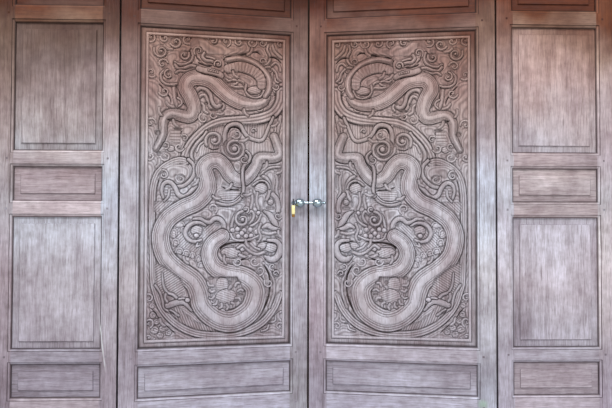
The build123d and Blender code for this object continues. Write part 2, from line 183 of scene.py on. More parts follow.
def wood(name, along, leaf=None, shift=0.0, tint=PLAIN, carved=False, panel=False):
    """Weathered hardwood: reddish and darkened by painted shade under the eaves, bleached to a lilac grey with a
    painted sky sheen lower down.
    """
    material, s, surface = new_material(name)
    place = s.add("ShaderNodeTexCoord").outputs["Object"]
    turn = {"left_door": -AJAR, "right_door": AJAR}.get(leaf, 0.0)
    turned_place = s.add("ShaderNodeVectorRotate", {"Vector": place, "Angle": math.radians(turn)},
                         rotation_type="Z_AXIS").outputs["Vector"]
    offset = s.vector("ADD", turned_place, (shift, shift * 0.7, shift * 1.3))
    stretch = {"X": (1.3, 26, 26), "Z": (26, 26, 1.3)}[along]
    broad = s.noise(offset, 1.0, 3, 0.5, 0.6, stretch)
    fine = s.noise(offset, 5.5, 5, 0.65, 0.2, stretch)
    pores = s.noise(offset, 5.0, 2, 0.5, stretch=[v * (4 if v > 2 else 3) for v in stretch])
    blotch = s.noise(offset, 2.6, 3, 0.5)
    patch = s.noise(offset, 2.2, 5, 0.6, 0.3, [4 if v > 2 else 1.6 for v in stretch])
    # made uneven by the blotches, so that no level shows as a line
    level = s.math("DIVIDE", s.wobble(blotch, 0.5, s.split(place, "Z")), HEIGHT_RANGE)
    tone = s.ramp(s.math("ADD", s.times(broad, 0.3), s.times(fine, 0.7)), (0.30, (0.52, 0.48, 0.48)),
                  (0.43, (0.84, 0.82, 0.82)), (0.55, 1.03), (0.68, (1.20, 1.21, 1.22)))
    # the colour by height holds painted eave shade at the top and a painted sky sheen low down
    colour = s.mix(0.9, s.by_height(level, LEAF_COLOURS_WITH_PAINTED_LIGHT), tone, "MULTIPLY")
    patches = s.ramp(patch, (0.36, (0.78, 0.74, 0.75)), (0.52, 1.0), (0.68, (1.14, 1.16, 1.17)))
    colour = s.tinted(colour, patches)
    if leaf in LEAF_WEAR and not carved:
        colour = s.tinted(colour, s.by_height(level, LEAF_WEAR[leaf]))
    if isinstance(tint[0], tuple):
        colour = s.tinted(colour, s.by_height(level, tint))
    elif tint != PLAIN:
        colour = s.tinted(colour, tint)
    spots = s.math("ADD", s.times(s.noise(turned_place, 34, 4, 0.6), 0.6),
                   s.times(s.noise(offset, 9, 3, 0.6), 0.4))
    mottle = s.ramp(spots, (0.36, (0.84, 0.82, 0.82)), (0.50, 1.0), (0.64, (1.14, 1.15, 1.16)))
    colour = s.tinted(colour, mottle)
    streak = s.ramp(pores, (0.34, 0), (0.46, 1))
    colour = s.mix(s.times(s.less(1.0, streak), 0.42), colour, srgb(84, 60, 58))
    if leaf and not carved:
        colour = with_grime_and_painted_shade(s, colour, place, fine, leaf, panel)
    if leaf == "left_side" and along == "Z":
        colour = with_chalk(s, colour, place, fine, patch)
    for where, radius, stain in STAINS.get(leaf, ()) if along == "Z" else ():
        far = s.vector("DISTANCE", place, where, "Value")
        spot = s.less(1.6, s.math("DIVIDE", far, radius), clamp=True)
        colour = s.mix(s.times(spot, s.ramp(fine, (0.35, 0.4), (0.6, 1.0))), colour, stain)
    normal = None
    if carved:
        colour, normal = as_carved(s, colour, level, patch)
    s.feed(surface["Base Color"], colour)
    s.feed(surface["Roughness"], s.math("ADD", s.times(fine, 0.2), 0.52))
    s.feed(surface["Normal"], s.bump(streak, 0.25, 0.0006, s.bump(fine, 0.35, 0.0012, normal)))
    surface["Specular IOR Level"].default_value = 0.2
    return material


def with_grime_and_painted_shade(s, colour, place, fine, leaf, panel):
    """Grime and painted shade in the step at the moulding's outer edge and where it meets the panel, and a
    painted highlight on the crests between.
    """
    inward, start = FACES[leaf]
    depth = s.less(s.vector("DOT_PRODUCT", place, inward, "Value"), start)
    step = s.times(s.wobble(fine, 0.002, depth), 1 / MOULDING_RANGE)
    if panel:
        low = ((0.40, 0), (0.43, 0.8), (0.49, 0.22), (0.60, 0.12))
    else:
        low = ((0.25, 0), (0.31, 0.9), (0.70, 1.0))
    grime_and_painted_shade = s.ramp(step, (0.012, 0), (0.035, 1.0), (0.10, 1.0), (0.16, 0.1), *low)
    # darker in the recesses: dirt together with painted shade
    colour = s.mix(s.times(grime_and_painted_shade, 0.92), colour, s.tinted(colour, (0.12, 0.09, 0.09, 1)))
    if not panel:
        # a painted highlight on the moulding's crest, where it would catch the light
        crest = s.ramp(step, (0.12, 0), (0.15, 0.6), (0.20, 0.6), (0.25, 0))
        colour = s.mix(crest, colour, s.tinted(colour, (1.45, 1.5, 1.5, 1)))
    return colour


def with_chalk(s, colour, place, fine, patch):
    """A chalk line scribbled down the inner stile."""
    across, up = s.split(place, "X"), s.split(place, "Z")
    line = s.wobble(fine, 0.012, s.math("MULTIPLY_ADD", up, CHALK_SLANT, across))
    off = s.math("ABSOLUTE", s.math("ADD", line, CHALK_FOOT))
    near = s.less(1.0, s.math("DIVIDE", off, CHALK_HALF_WIDTH), clamp=True)
    span = s.math("DIVIDE", s.math("ABSOLUTE", s.less(up, CHALK_MIDDLE)), CHALK_HALF_HEIGHT)
    chalk = s.times(near, s.times(s.less(1.0, span, clamp=True), 3.0, clamp=True))
    return s.mix(s.times(chalk, s.ramp(patch, (0.4, 0.3), (0.55, 0.95))), colour, srgb(232, 236, 240))


def as_carved(s, colour, level, patch):
    """Soot and painted shade in hollows, rubbed crests with a painted highlight, and chiselled lines darkened by
    painted shade, from the relief's values, with the lines' normal.
    """
    soot_and_shade, rub, lines, phase = (s.add("ShaderNodeAttribute", attribute_name=name).outputs["Fac"]
                               for name in ("soot_and_shade", "rub", "lines", "phase"))
    wave = s.math("MULTIPLY_ADD", s.math("COSINE", s.times(phase, 2 * math.pi)), 0.5, 0.5)
    stroke = s.times(s.math("POWER", wave, 1.5), lines)
    colour = s.tinted(colour, s.ramp(level, (0.3, (1.03, 1.04, 1.02)), (0.46, (0.95, 0.91, 0.89)),
                                     (0.62, (1.25, 1.25, 1.2)), (0.85, (1.6, 1.6, 1.55))))
    warm = s.mix(s.ramp(patch, (0.35, 0.9), (0.6, 0.25)), PLAIN, (1.0, 0.90, 0.86, 1))
    colour = s.mix(s.less(1.0, rub, clamp=True), colour, s.tinted(colour, warm))
    pale = s.ramp(level, (0.3, srgb(204, 196, 205)), (0.6, srgb(198, 184, 183)), (0.85, srgb(184, 152, 138)))
    # rubbed wear together with a painted highlight
    colour = s.mix(s.times(rub, s.ramp(patch, (0.38, 0.4), (0.6, 0.85)), clamp=True), colour, pale)
    # painted shade in the chiselled lines
    colour = s.mix(s.times(stroke, 0.6, clamp=True), colour, srgb(72, 54, 52))
    # soot together with painted shade in hollows and on faces that look down
    colour = s.mix(s.times(soot_and_shade, 0.95, clamp=True), colour, srgb(42, 30, 28))
    return colour, s.bump(s.less(1.0, stroke), 0.9, 0.0014)


def metal(name, colour, roughness, scratch=60.0):
    material, s, surface = new_material(name)
    place = s.add("ShaderNodeTexCoord").outputs["Object"]
    smear = s.noise(place, scratch, 4, 0.6)
    speck = s.noise(place, scratch * 6, 2, 0.5)
    tarnish = (*(v * 0.6 for v in colour[:3]), 1)
    s.feed(surface["Base Color"], s.mix(s.ramp(smear, (0.4, 0), (0.7, 0.35)), colour, tarnish))
    s.feed(surface["Roughness"], s.math("ADD", s.times(smear, 0.2), roughness))
    s.feed(surface["Normal"], s.bump(speck, 0.1, 0.0002))
    surface["Metallic"].default_value = 1.0
    return material


def give(name, material):
    data = nodes[name].data
    data.materials.clear()
    data.materials.append(material)


woods = {}
for leaf in FACES:
    for along in "XZ":
        redder = (0.95, 0.88, 0.84, 1) if along == "X" and "side" in leaf else PLAIN
        for panel in (False, True):
            title = f"wood_{leaf}_{along}" + "_panel" * panel
            woods[leaf, along, panel] = wood(title, along, leaf, 3.7 * len(woods), redder, panel=panel)
frame_wood = {along: wood(f"wood_frame_{along}", along, shift=40 + ord(along)) for along in "XZ"}
peg_wood = wood("wood_pegs", "X", shift=90.0, tint=(0.60, 0.56, 0.56, 1))
# Pieces that have weathered unlike the rest of their leaf: the way of the grain, a shift of the pattern, and a
# tint or tints by height
PIECE_WEAR = {
    "left_side_upper_panel": ("Z", 61.0, (0.87, 0.95, 0.97, 1)),
    "left_side_middle_panel": ("X", 101.0, (0.80, 0.66, 0.63, 1)),
    "left_side_bottom_panel": ("X", 66.0, (0.84, 0.82, 0.84, 1)),
    "left_side_high_rail": ("X", 81.0, (1.62, 1.72, 1.5, 1)),
    "left_side_mid_rail": ("X", 29.6, (1.13, 0.97, 0.91, 1)),
    "left_side_low_rail": ("X", 29.6, (0.87, 0.88, 0.9, 1)),
    "left_side_outer_stile": ("Z", 76.0, ((0.3, (0.8, 0.75, 0.75)), (0.8, (0.8, 0.7, 0.7)),
                                          (1.2, (0.9, 0.85, 0.8)), (1.45, 0.7), (1.7, (1.05, 1.1, 1.0)))),
    "left_side_inner_stile": ("Z", 91.0, ((0.3, (0.8, 0.75, 0.75)), (0.6, 1.0), (1.45, (1.2, 1.35, 1.4)),
                                          (1.7, 1.0), (1.9, (0.7, 0.6, 0.5)))),
    "left_door_outer_stile": ("Z", 105.0, ((0.3, (0.8, 0.75, 0.75)), (0.55, (0.95, 0.9, 0.85)),
                                           (1.2, (0.9, 0.85, 0.85)), (1.5, 1.0), (1.85, (0.85, 0.85, 0.9)))),
    "left_door_inner_stile": ("Z", 107.0, ((0.3, (0.75, 0.75, 0.7)), (0.6, 1.0), (1.1, (0.8, 0.75, 0.75)),
                                           (1.45, (1.1, 1.2, 1.2)), (1.7, 1.0))),
    "right_door_inner_stile": ("Z", 109.0, ((0.3, (0.7, 0.65, 0.65)), (0.55, (1.1, 1.0, 1.0)), (1.0, 0.85),
                                            (1.45, (1.25, 1.4, 1.45)), (1.8, (0.9, 0.75, 0.7)))),
    "right_door_outer_stile": ("Z", 111.0, ((0.3, (0.9, 0.95, 0.95)), (0.7, (1.1, 1.1, 1.05)), (1.0, 0.9),
                                            (1.4, (1.05, 1.1, 1.15)), (1.75, (0.85, 0.8, 0.7)))),
    "right_door_lower_rail": ("X", 14.8, (1.14, 1.12, 1.1, 1)),
    "right_side_inner_stile": ("Z", 51.8, ((0.3, 0.95), (0.9, (1.1, 1.15, 1.15)), (1.3, 0.9), (1.65, 0.9),
                                           (1.8, 1.1))),
    "right_side_outer_stile": ("Z", 113.0, ((0.3, (0.9, 0.85, 0.85)), (0.9, (1.2, 1.2, 1.1)),
                                            (1.3, (1.0, 0.95, 0.95)), (1.5, 0.85), (1.8, (1.5, 1.7, 1.7)))),
    "right_side_upper_panel": ("Z", 71.0, ((1.4, 1.0), (1.7, (1.2, 1.2, 1.15)))),
    "right_side_middle_panel": ("X", 103.0, (1.07, 0.96, 0.89, 1)),
    "right_side_high_rail": ("X", 86.0, (1.15, 1.22, 1.1, 1)),
    "right_side_mid_rail": ("X", 44.4, (0.86, 0.76, 0.7, 1)),
    "right_side_waist_rail": ("X", 44.4, (0.85, 0.76, 0.73, 1)),
    "right_side_low_rail": ("X", 44.4, (1.06, 1.08, 1.07, 1)),
}
steel = metal("hinge_steel", srgb(120, 116, 112), 0.45)
chrome = metal("chrome", srgb(172, 190, 200), 0.03, 30)
brass = metal("brass", srgb(222, 212, 158), 0.42, 90)
dull_brass = metal("dull_brass", srgb(150, 110, 58), 0.45, 90)
dark_steel = metal("shackle_steel", srgb(70, 70, 74), 0.35)

NODE_METALS = {"left_lock_boss": chrome, "right_lock_boss": chrome, "lock_bolt": chrome,
               "padlock_shackle": dark_steel, "padlock_case": brass}
for name in nodes:
    leaf = next((k for k in FACES if name.startswith(k)), None)
    if "pegs" in name:
        give(name, peg_wood)
    elif "hinge" in name:
        give(name, steel)
    elif name in NODE_METALS:
        give(name, NODE_METALS[name])
    elif name in PIECE_WEAR:
        along, shift, tint = PIECE_WEAR[name]
        give(name, wood(f"wood_{name}", along, leaf, shift, tint, panel="panel" in name))
    elif leaf and "carved_panel" not in name:
        small = any(k in name for k in ("rail", "bottom_panel", "middle_panel", "top_panel"))
        give(name, woods[leaf, "X" if small else "Z", "panel" in name])
    elif not leaf:
        give(name, frame_wood["Z" if "jamb" in name else "X"])


# The carving, as a height field

def smooth(points, step=3.0):
    """A smooth line through control points, sampled about every step millimetres."""
    p = np.asarray(points, float)
    if len(p) == 2:
        n = max(2, int(np.hypot(*(p[1] - p[0])) / step) + 1)
        return p[0] + (p[1] - p[0]) * np.linspace(0, 1, n)[:, None]
    p = np.vstack([2 * p[0] - p[1], p, 2 * p[-1] - p[-2]])
    line = []
    for a, b, c, d in zip(p, p[1:], p[2:], p[3:]):
        n = max(2, int(np.hypot(*(c - b)) / step) + 1)
        t = np.linspace(0, 1, n, endpoint=False)[:, None]
        bend, twist = 2 * a - 5 * b + 4 * c - d, 3 * b - a - 3 * c + d
        line.append(0.5 * (2 * b + (c - a) * t + bend * t ** 2 + twist * t ** 3))
    line.append(p[-2:-1])
    return np.vstack(line)


def swirl(x, z, inner, outer, start, turns):
    """Points of a spiral from its outer end inwards; start and turns in degrees, anticlockwise positive."""
    t = np.linspace(0, 1, max(6, int(abs(turns) / 22)))
    a = np.radians(start + turns * t)
    r = outer + (inner - outer) * t ** 0.85
    return np.stack([x + r * np.cos(a), z + r * np.sin(a)], 1)


def blur(field, reach):
    """Three box blurs, close to a Gaussian of about that reach."""
    k = max(1, int(round(reach / PITCH)))
    for axis in (0, 1) * 3:
        pad = [(0, 0), (0, 0)]
        pad[axis] = (k + 1, k)
        total = np.cumsum(np.pad(field, pad, mode="edge"), axis=axis)
        field = (np.take(total, range(2 * k + 1, total.shape[axis]), axis)
                 - np.take(total, range(0, total.shape[axis] - 2 * k - 1), axis)) / (2 * k + 1)
    return field


def ease(v):
    v = np.clip(v, 0, 1)
    return v * v * (3 - 2 * v)


def rounding(r):
    """Half a circle's height over its middle at 0, down to 0 at 1."""
    return np.sqrt(np.clip(1 - r ** 2, 0, 1))


PITCH = 2.05                                               # of the grid, in millimetres
DRAWN_ASIDE = (4.5, -2.0)                                  # from the opening's middle to the drawing's
BODY_CREST = 0.36  # share of a body's half width under its smooth crest
BAR_DEPTH = 3.4                                            # of the grooves across the dragon's folded belly


class Relief:
    """Heights in millimetres above the sunk ground, on a grid over the field inside the bead."""

    def __init__(self, half_x, half_z):
        self.x = np.linspace(-half_x, half_x, int(2 * half_x / PITCH) + 1) - DRAWN_ASIDE[0]
        self.z = np.linspace(half_z, -half_z, int(2 * half_z / PITCH) + 1) - DRAWN_ASIDE[1]
        self.X, self.Z = np.meshgrid(self.x, self.z)
        self.h = np.full(self.X.shape, 5.0)
        # The fine lines' strength and a point's place in their spacing, the painted highlight on worn, lit
        # crests, 1 on a carved form, and 1 where the ground has lines of its own
        self.hatch, self.phase, self.glow, self.form, self.kept = (np.zeros(self.X.shape) for _ in range(5))

    def window(self, low, high):
        c = np.searchsorted(self.x, (low[0], high[0]))
        r = np.searchsorted(-self.z, (-high[1], -low[1]))
        return slice(max(r[0] - 1, 0), r[1] + 1), slice(max(c[0] - 1, 0), c[1] + 1)

    def put(self, w, inside, **fields):
        """Sets fields inside a form, within its window."""
        for name, value in fields.items():
            field = getattr(self, name)
            field[w] = np.where(inside, value, field[w])

    def near(self, line, reach):
        """The window round a line, with each point's signed distance to it and share of the way along."""
        w = self.window(line.min(0) - reach, line.max(0) + reach)
        shape = self.X[w].shape
        X, Z = (field[w].ravel().astype(np.float32) for field in (self.X, self.Z))
        L = line.astype(np.float32)
        v = L[1:] - L[:-1]
        size = np.maximum(np.hypot(*v.T), 1e-6)
        run = np.concatenate([[0], np.cumsum(size)])
        dist, along = np.empty(len(X), np.float32), np.empty(len(X), np.float32)
        block = max(1, int(4e6 / len(L)))                  # points at a time, to spare memory
        for i in range(0, len(X), block):
            x, z = X[i:i + block, None], Z[i:i + block, None]
            k = ((x - L[:, 0]) ** 2 + (z - L[:, 1]) ** 2).argmin(1)
            x, z = x[:, 0], z[:, 0]
            best = None
            for j in (np.maximum(k - 1, 0), np.minimum(k, len(v) - 1)):
                t = np.clip(((x - L[j, 0]) * v[j, 0] + (z - L[j, 1]) * v[j, 1]) / size[j] ** 2, 0, 1)
                dx, dz = x - L[j, 0] - t * v[j, 0], z - L[j, 1] - t * v[j, 1]
                d = np.hypot(dx, dz) * np.where(v[j, 0] * dz - v[j, 1] * dx >= 0, 1, -1)
                s = run[j] + t * size[j]
                if best is None:
                    best = (d, s)
                else:
                    nearer = abs(d) < abs(best[0])
                    best = (np.where(nearer, d, best[0]), np.where(nearer, s, best[1]))
            dist[i:i + block], along[i:i + block] = best
        return w, dist.reshape(shape), (along / run[-1]).reshape(shape), run[-1]

    def ridge(self, points, width, top, foot=2.0, kind="round", moat=4.5, ribs=0, power=0.5, bars=0.0, glow=0.0,
              sink=0.0):
        """A raised strip along a line, over what is there: width may change along it."""
        widths = np.atleast_1d(np.asarray(width, float))
        w, d, s, length = self.near(smooth(points), widths.max() / 2 + moat + 2)
        half = np.interp(s, np.linspace(0, 1, len(widths)), widths) / 2 if len(widths) > 1 else widths[0] / 2
        r = abs(d) / half
        inside = r < 1
        if kind == "band":
            third = half * 2 / 3
            wave = (((d / third) + 0.5) % 1 - 0.5) * 2
            shape = 0.62 + 0.38 * rounding(wave) + 0.05 * np.sign(1 - r)
            phase, hatch = d / third + 0.5, 0.9
        elif kind == "body":
            crest = r < BODY_CREST
            slope = (r - BODY_CREST) / (1 - BODY_CREST)
            flank = 0.06 + 0.56 * np.clip(1 - slope, 0, 1)
            shape = np.where(crest, 0.66 + 0.34 * rounding(r / BODY_CREST), flank)
            phase, hatch = slope * ribs, np.where(crest, 0, 1.0)
            shape = shape + np.where(crest, 0, 0.17 * np.sqrt(abs(np.sin(math.pi * phase))) - 0.09)
        else:
            shape = rounding(r) ** (2 * power)
            phase, hatch = d / half * max(1, round(widths.max() / 11)) + 0.5, 0.55 if widths.max() > 10 else 0.0
        new = foot + (top - foot) * shape
        if bars:
            turn = 2 * math.pi * s * length / bars
            new = new - BAR_DEPTH * (0.5 + 0.5 * np.cos(turn)) ** 2 * (r < 0.95)
        h = self.h[w]
        gap = ease((abs(d) - half) / moat)
        self.h[w] = np.where(inside, new, h * gap + (1 - gap) * np.minimum(h, sink))
        self.put(w, inside, phase=phase, hatch=hatch, form=1, glow=glow * shape)

    def cut(self, points, width, depth=5.0, floor=-5.0):
        w, d, s, _ = self.near(smooth(points), width * 1.6)
        taper = np.clip(np.minimum(s, 1 - s) * 12, 0.35, 1)
        h = self.h[w]
        groove = (depth + 3) * np.exp(-(d / (width * 0.5 * taper)) ** 4)
        self.h[w] = np.maximum(np.minimum(h, floor), h - groove)

    def ellipse(self, x, z, rx, rz, tilt=0.0):
        """The window round an ellipse, with each point's share of the way from its middle to its edge."""
        m = max(rx, rz) + 8
        w = self.window((x - m, z - m), (x + m, z + m))
        a = math.radians(tilt)
        dx, dz = self.X[w] - x, self.Z[w] - z
        u, v = dx * math.cos(a) + dz * math.sin(a), dz * math.cos(a) - dx * math.sin(a)
        return w, np.hypot(u / rx, v / rz)

    def dome(self, x, z, rx, rz=None, tilt=0.0, top=12.0, foot=3.0, glow=0.0, moat=4.0):
        rz = rz or rx
        w, r = self.ellipse(x, z, rx, rz, tilt)
        h = self.h[w]
        gap = ease((r - 1) * min(rx, rz) / moat)
        around = h * gap + (1 - gap) * np.minimum(h, -1.0)
        self.h[w] = np.where(r < 1, foot + (top - foot) * rounding(r), around)
        turn = math.radians(tilt + 70)
        phase = (self.X[w] * math.cos(turn) + self.Z[w] * math.sin(turn)) / 9.5
        self.put(w, r < 1, phase=phase, hatch=0.7 if min(rx, rz) > 12 else 0, form=1, glow=glow)

    def pit(self, x, z, rx, rz=None, tilt=0.0, floor=-2.5):
        w, r = self.ellipse(x, z, rx, rz or rx, tilt)
        h = self.h[w]
        k = ease((1.25 - r) / 0.5)
        self.h[w] = h * (1 - k) + np.minimum(h, floor) * k
        self.put(w, r < 1.1, hatch=0)
        self.put(w, r < 1.2, form=1)

    def pits(self, *places):
        for place in places:
            self.pit(*place)

    def curl(self, x, z, outer, start, turns, width=9.0, top=10.0, inner=3.0, eye=0.0, foot=2.0, glow=0.0,
             sink=0.0):
        """A spiral scroll: a sunk disc, the coiled ridge on it and an eye in its middle."""
        w, r = self.ellipse(x, z, outer, outer)
        h = self.h[w]
        self.h[w] = np.where(r < 0.95, np.minimum(h, sink + 1), h)
        coil = swirl(x, z, inner, outer, start, turns)
        self.ridge(coil, (width, width, width * 0.6), top, foot, moat=3.5, glow=glow, sink=sink)
        if eye:
            self.dome(x, z, eye, top=top + 1, moat=2.0, glow=glow)

    def level(self, outline, height, soft=5.0, hatch=0.0, angle=0.0, spacing=9.0, glow=0.0):
        """Sets the ground inside a closed outline, with fine lines at an angle across it."""
        p = np.asarray(outline, float)
        w = self.window(p.min(0) - soft, p.max(0) + soft)
        X, Z = self.X[w], self.Z[w]
        inside = np.zeros(X.shape, bool)
        edge = np.full(X.shape, 1e9)
        for a, b in zip(p, np.roll(p, -1, 0)):
            crossing = (a[1] > Z) != (b[1] > Z)
            with np.errstate(divide="ignore", invalid="ignore"):
                at = (b[0] - a[0]) * (Z - a[1]) / (b[1] - a[1]) + a[0]
            inside ^= crossing & (X < at)
            v = b - a
            t = np.clip(((X - a[0]) * v[0] + (Z - a[1]) * v[1]) / max((v ** 2).sum(), 1e-6), 0, 1)
            edge = np.minimum(edge, np.hypot(X - a[0] - t * v[0], Z - a[1] - t * v[1]))
        k = ease(edge / soft) * inside
        self.h[w] = self.h[w] * (1 - k) + height * k
        a = math.radians(angle)
        phase = (-X * math.sin(a) + Z * math.cos(a)) / spacing
        self.put(w, inside, hatch=hatch, phase=phase, form=0, kept=1.0 if hatch > 0.55 else 0.0)
        self.glow[w] = self.glow[w] + glow * k


GROUND_STEP = 4                                            # grid points between places tried for a scroll
WIDEST_FREE, NARROWEST_FREE = 26, 13                       # room round a scroll, in millimetres


def fill_ground(c):
    """Small cloud scrolls where the ground is still bare, and fine lines that echo the forms round them."""
    random = np.random.default_rng(7)
    rows = np.arange(GROUND_STEP, len(c.z) - GROUND_STEP, GROUND_STEP)
    columns = np.arange(GROUND_STEP, len(c.x) - GROUND_STEP, GROUND_STEP)
    blocked = ((c.form > 0) | (c.kept > 0))[np.ix_(rows, columns)]
    free = np.full(blocked.shape, 99.0)
    bz, bx = np.nonzero(blocked)
    step = GROUND_STEP * PITCH
    for i in range(blocked.shape[0]):
        near = abs(bz - i) < 5
        if near.any():
            aside = (bx[near][:, None] - np.arange(blocked.shape[1])) * step
            free[i] = np.hypot((bz[near] - i)[:, None] * step, aside).min(0)
    free = np.minimum(free, WIDEST_FREE)
    while free.max() >= NARROWEST_FREE:
        i, j = np.unravel_index(free.argmax(), free.shape)
        x, z = c.x[columns[j]], c.z[rows[i]]
        size = min(free[i, j] - 1, 24)
        start, way = random.uniform(0, 360), random.choice((-1, 1))
        scroll = random.random() >= 0.4                    # the other places are left to the fine lines
        if scroll and size > 17:
            top = 9 + 2 * random.random()
            c.curl(x, z, size, start, way * 420, size * 0.36, top, eye=size * 0.2, foot=3, sink=2)
        elif scroll:
            a = np.radians(random.uniform(-90, 90))
            reach = size * 1.1
            dx, dz = reach * np.cos(a), reach * np.sin(a)
            hook = [(x - dx, z - dz), (x + 0.3 * dz, z - 0.3 * dx), (x + dx, z + dz)]
            c.ridge(hook, size * 0.8, 8 + 2 * random.random(), 3, sink=2)
        gone = np.hypot(c.x[columns][None] - x, c.z[rows][:, None] - z)
        free = np.minimum(free, np.maximum(gone - size, 0))
    echo = blur(c.form, 12) * (1 - c.kept)
    bare = (1 - c.form) * (1 - c.kept)
    c.phase = np.where(bare > 0, echo * 5 + c.Z / 40 + c.X / 60, c.phase)
    c.hatch = np.where(bare > 0, 0.8, c.hatch)


def carve(half_x, half_z):
    c = Relief(half_x, half_z)
    X, Z = c.X, c.Z
    c.h += 1.1 * np.sin(X / 23 + 1.3 * np.sin(Z / 31)) + 0.9 * np.sin(Z / 17 + 1.7 * np.sin(X / 29))
    c.hatch += 0.35
    c.phase += Z / 6.5
    ridge, cut, dome, curl, level, pit, pits = c.ridge, c.cut, c.dome, c.curl, c.level, c.pit, c.pits

    # clouds along the top
    level([(-290, 660), (-290, 350), (-205, 350), (-205, 395), (-262, 460), (-262, 660)], 4, hatch=0.5,
          angle=0, spacing=12.6)
    level([(-90, 662), (-75, 600), (0, 600), (45, 600), (110, 612), (150, 622), (160, 662)], 9, hatch=0.35,
          angle=3, spacing=12.6)
    level([(160, 662), (175, 622), (220, 600), (290, 600), (290, 662)], 7, hatch=0.5, angle=60)
    cut([(-140, 608), (-112, 606), (-100, 600), (-95, 584), (-82, 568), (-68, 559), (-35, 557)], 6)
    cut([(-62, 604), (-55, 595), (-22, 596), (-8, 588), (0, 578)], 6)
    cut([(18, 574), (35, 588), (50, 596), (75, 595), (100, 604), (118, 610), (140, 610), (156, 620), (175,
        621), (190, 610)], 7, 8)
    pits((-50, 557, 20, 4.5), (62, 594, 13, 4.5), (118, 608, 18, 5))
    curl(-185, 648, 28, 200, 420, 10, eye=5)
    curl(-250, 603, 33, 160, 500, 11, eye=6)
    ridge([(-118, 612), (-112, 590), (-120, 566), (-145, 550), (-175, 548), (-190, 556)], 13, 11)
    curl(-150, 590, 24, 30, -420, 10, eye=5)
    ridge([(-232, 520), (-250, 500), (-246, 472), (-226, 457), (-200, 456), (-180, 460)], 12, 11)
    curl(-217, 500, 22, 100, 430, 9, eye=6)
    ridge([(-190, 545), (-175, 530), (-150, 533), (-120, 545), (-95, 540)], 14, 10)
    ridge([(-185, 510), (-170, 520), (-145, 518), (-120, 525)], 12, 9)
    cut([(-262, 458), (-243, 442), (-224, 418), (-211, 395), (-206, 376)], 5)
    cut([(-184, 455), (-180, 430), (-178, 402), (-166, 387), (-150, 374), (-140, 360)], 5)
    ridge([(-195, 440), (-192, 410), (-186, 380), (-178, 360)], 16, 9)
    ridge([(-178, 398), (-163, 388), (-160, 372), (-172, 360)], 9, 10)
    # right edge of the upper part
    ridge([(213, 560), (232, 582), (234, 606), (222, 632), (226, 655)], 13, 12)
    ridge([(240, 560), (258, 575), (276, 566), (284, 540)], 12, 10)
    cut([(228, 597), (250, 601), (270, 593), (288, 574)], 6, 7)
    ridge([(246, 655), (255, 630), (275, 610), (288, 600)], 14, 10)
    ridge([(246, 540), (243, 505), (243, 475), (252, 452)], 12, 11)
    curl(273, 497, 19, 90, 400, 9, eye=5)
    curl(262, 452, 17, 0, -380, 9, top=12, eye=6, glow=0.3)
    dome(225, 545, 22, 17, 0, 8)
    pits((227, 544, 14, 9), (263, 424, 12, 8))
    ridge([(195, 425), (215, 412), (235, 420), (248, 405), (240, 385)], 11, 10)
    curl(191, 366, 18, 180, 380, 8, eye=4)
    ridge([(150, 372), (172, 380), (200, 384), (225, 376)], 9, 9)
    level([(215, 355), (285, 365), (285, 420), (250, 430)], 5, hatch=0.6, angle=40)

    # scalloped claws below the upper dragon
    level([(-95, 300), (-95, 420), (-10, 420), (60, 400), (150, 370), (60, 345), (-20, 320)], 3, hatch=0.3,
          angle=90)
    ridge([(-108, 400), (-98, 428), (-78, 446), (-52, 440), (-34, 418), (-28, 392), (-16, 370), (2, 366), (14,
          380)], 19, 14, glow=0.2)
    ridge([(-90, 388), (-78, 410), (-60, 416), (-48, 398), (-40, 370), (-28, 352)], 14, 11)
    ridge([(-92, 372), (-76, 378), (-62, 366), (-60, 345), (-45, 335)], 13, 10, glow=0.2)
    pits((-52, 378, 9, 8), (-20, 350, 20, 5), (15, 384, 10, 7, 40), (88, 366, 19, 9), (136, 361, 12, 5))
    ridge([(20, 352), (28, 366), (24, 380)], 11, 10)
    ridge([(112, 350), (117, 365), (112, 378)], 9, 10)

    # inside the loop of the upper dragon
    level([(30, 495), (100, 512), (150, 495), (140, 430), (60, 430), (20, 470)], 1)
    ridge([(36, 492), (48, 484), (66, 490), (88, 484), (80, 472), (62, 468)], 9, 10)
    ridge([(92, 488), (112, 480), (122, 462), (128, 448)], 12, 10)
    ridge([(60, 462), (85, 458), (112, 460), (126, 446)], 8, 8)
    pits((40, 472, 8, 8), (92, 450, 30, 5))
    ridge([(126, 470), (124, 444), (138, 420), (165, 410), (192, 418), (206, 440), (200, 462)], 12, 12,
          foot=3)
    dome(164, 446, 33, 19, 6, 14, glow=0.35)

    # the upper band and the lower border band
    ridge([(288, 441), (282, 395), (254, 348), (204, 322), (144, 309), (72, 301), (9, 292), (-46, 266), (-96,
          219), (-128, 174), (-146, 119)], (46, 46, 44, 42, 40), 14, 3, "band", moat=9, glow=0.15)
    ridge([(-140, 115), (-165, 120), (-200, 110), (-246, 78), (-270, 37), (-281, -26), (-283, -154), (-281,
          -245), (-277, -400), (-268, -454), (-237, -535), (-173, -604), (-91, -645), (9, -657), (118, -645),
          (200, -608), (255, -545), (282, -480)], (30, 28, 26, 30, 32, 32), 10, 2, "band", moat=7)

    # the upper dragon
    ridge([(20, 498), (32, 530), (36, 562), (30, 592)], 9, 13)
    ridge([(8, 500), (22, 528), (24, 560), (16, 580)], 9, 13)
    upper = [(-269, 169), (-241, 228), (-237, 292), (-205, 326), (-128, 315), (-105, 351), (-119, 401), (-142,
              446), (-123, 483), (-78, 492), (-28, 478), (13, 442), (58, 406), (108, 385), (162, 380), (202,
              391), (220, 414)]
    ridge(upper, (24, 38, 54, 65, 70, 70, 62, 34), 17, 5, "body", moat=8, ribs=3, glow=0.15)
    ridge([(214, 420), (232, 455), (226, 508), (170, 566), (99, 588), (40, 578)], (24, 28, 28, 24), 14, 5,
          "body", ribs=2)
    ridge([(196, 468), (192, 500), (160, 532), (99, 550), (44, 538)], (38, 46, 48, 46, 40), 14, 5, power=0.35,
          bars=15)
    curl(264, 466, 17, 200, 380, 8, eye=4)
    ridge([(246, 548), (262, 530), (270, 505), (284, 492)], 12, 11)

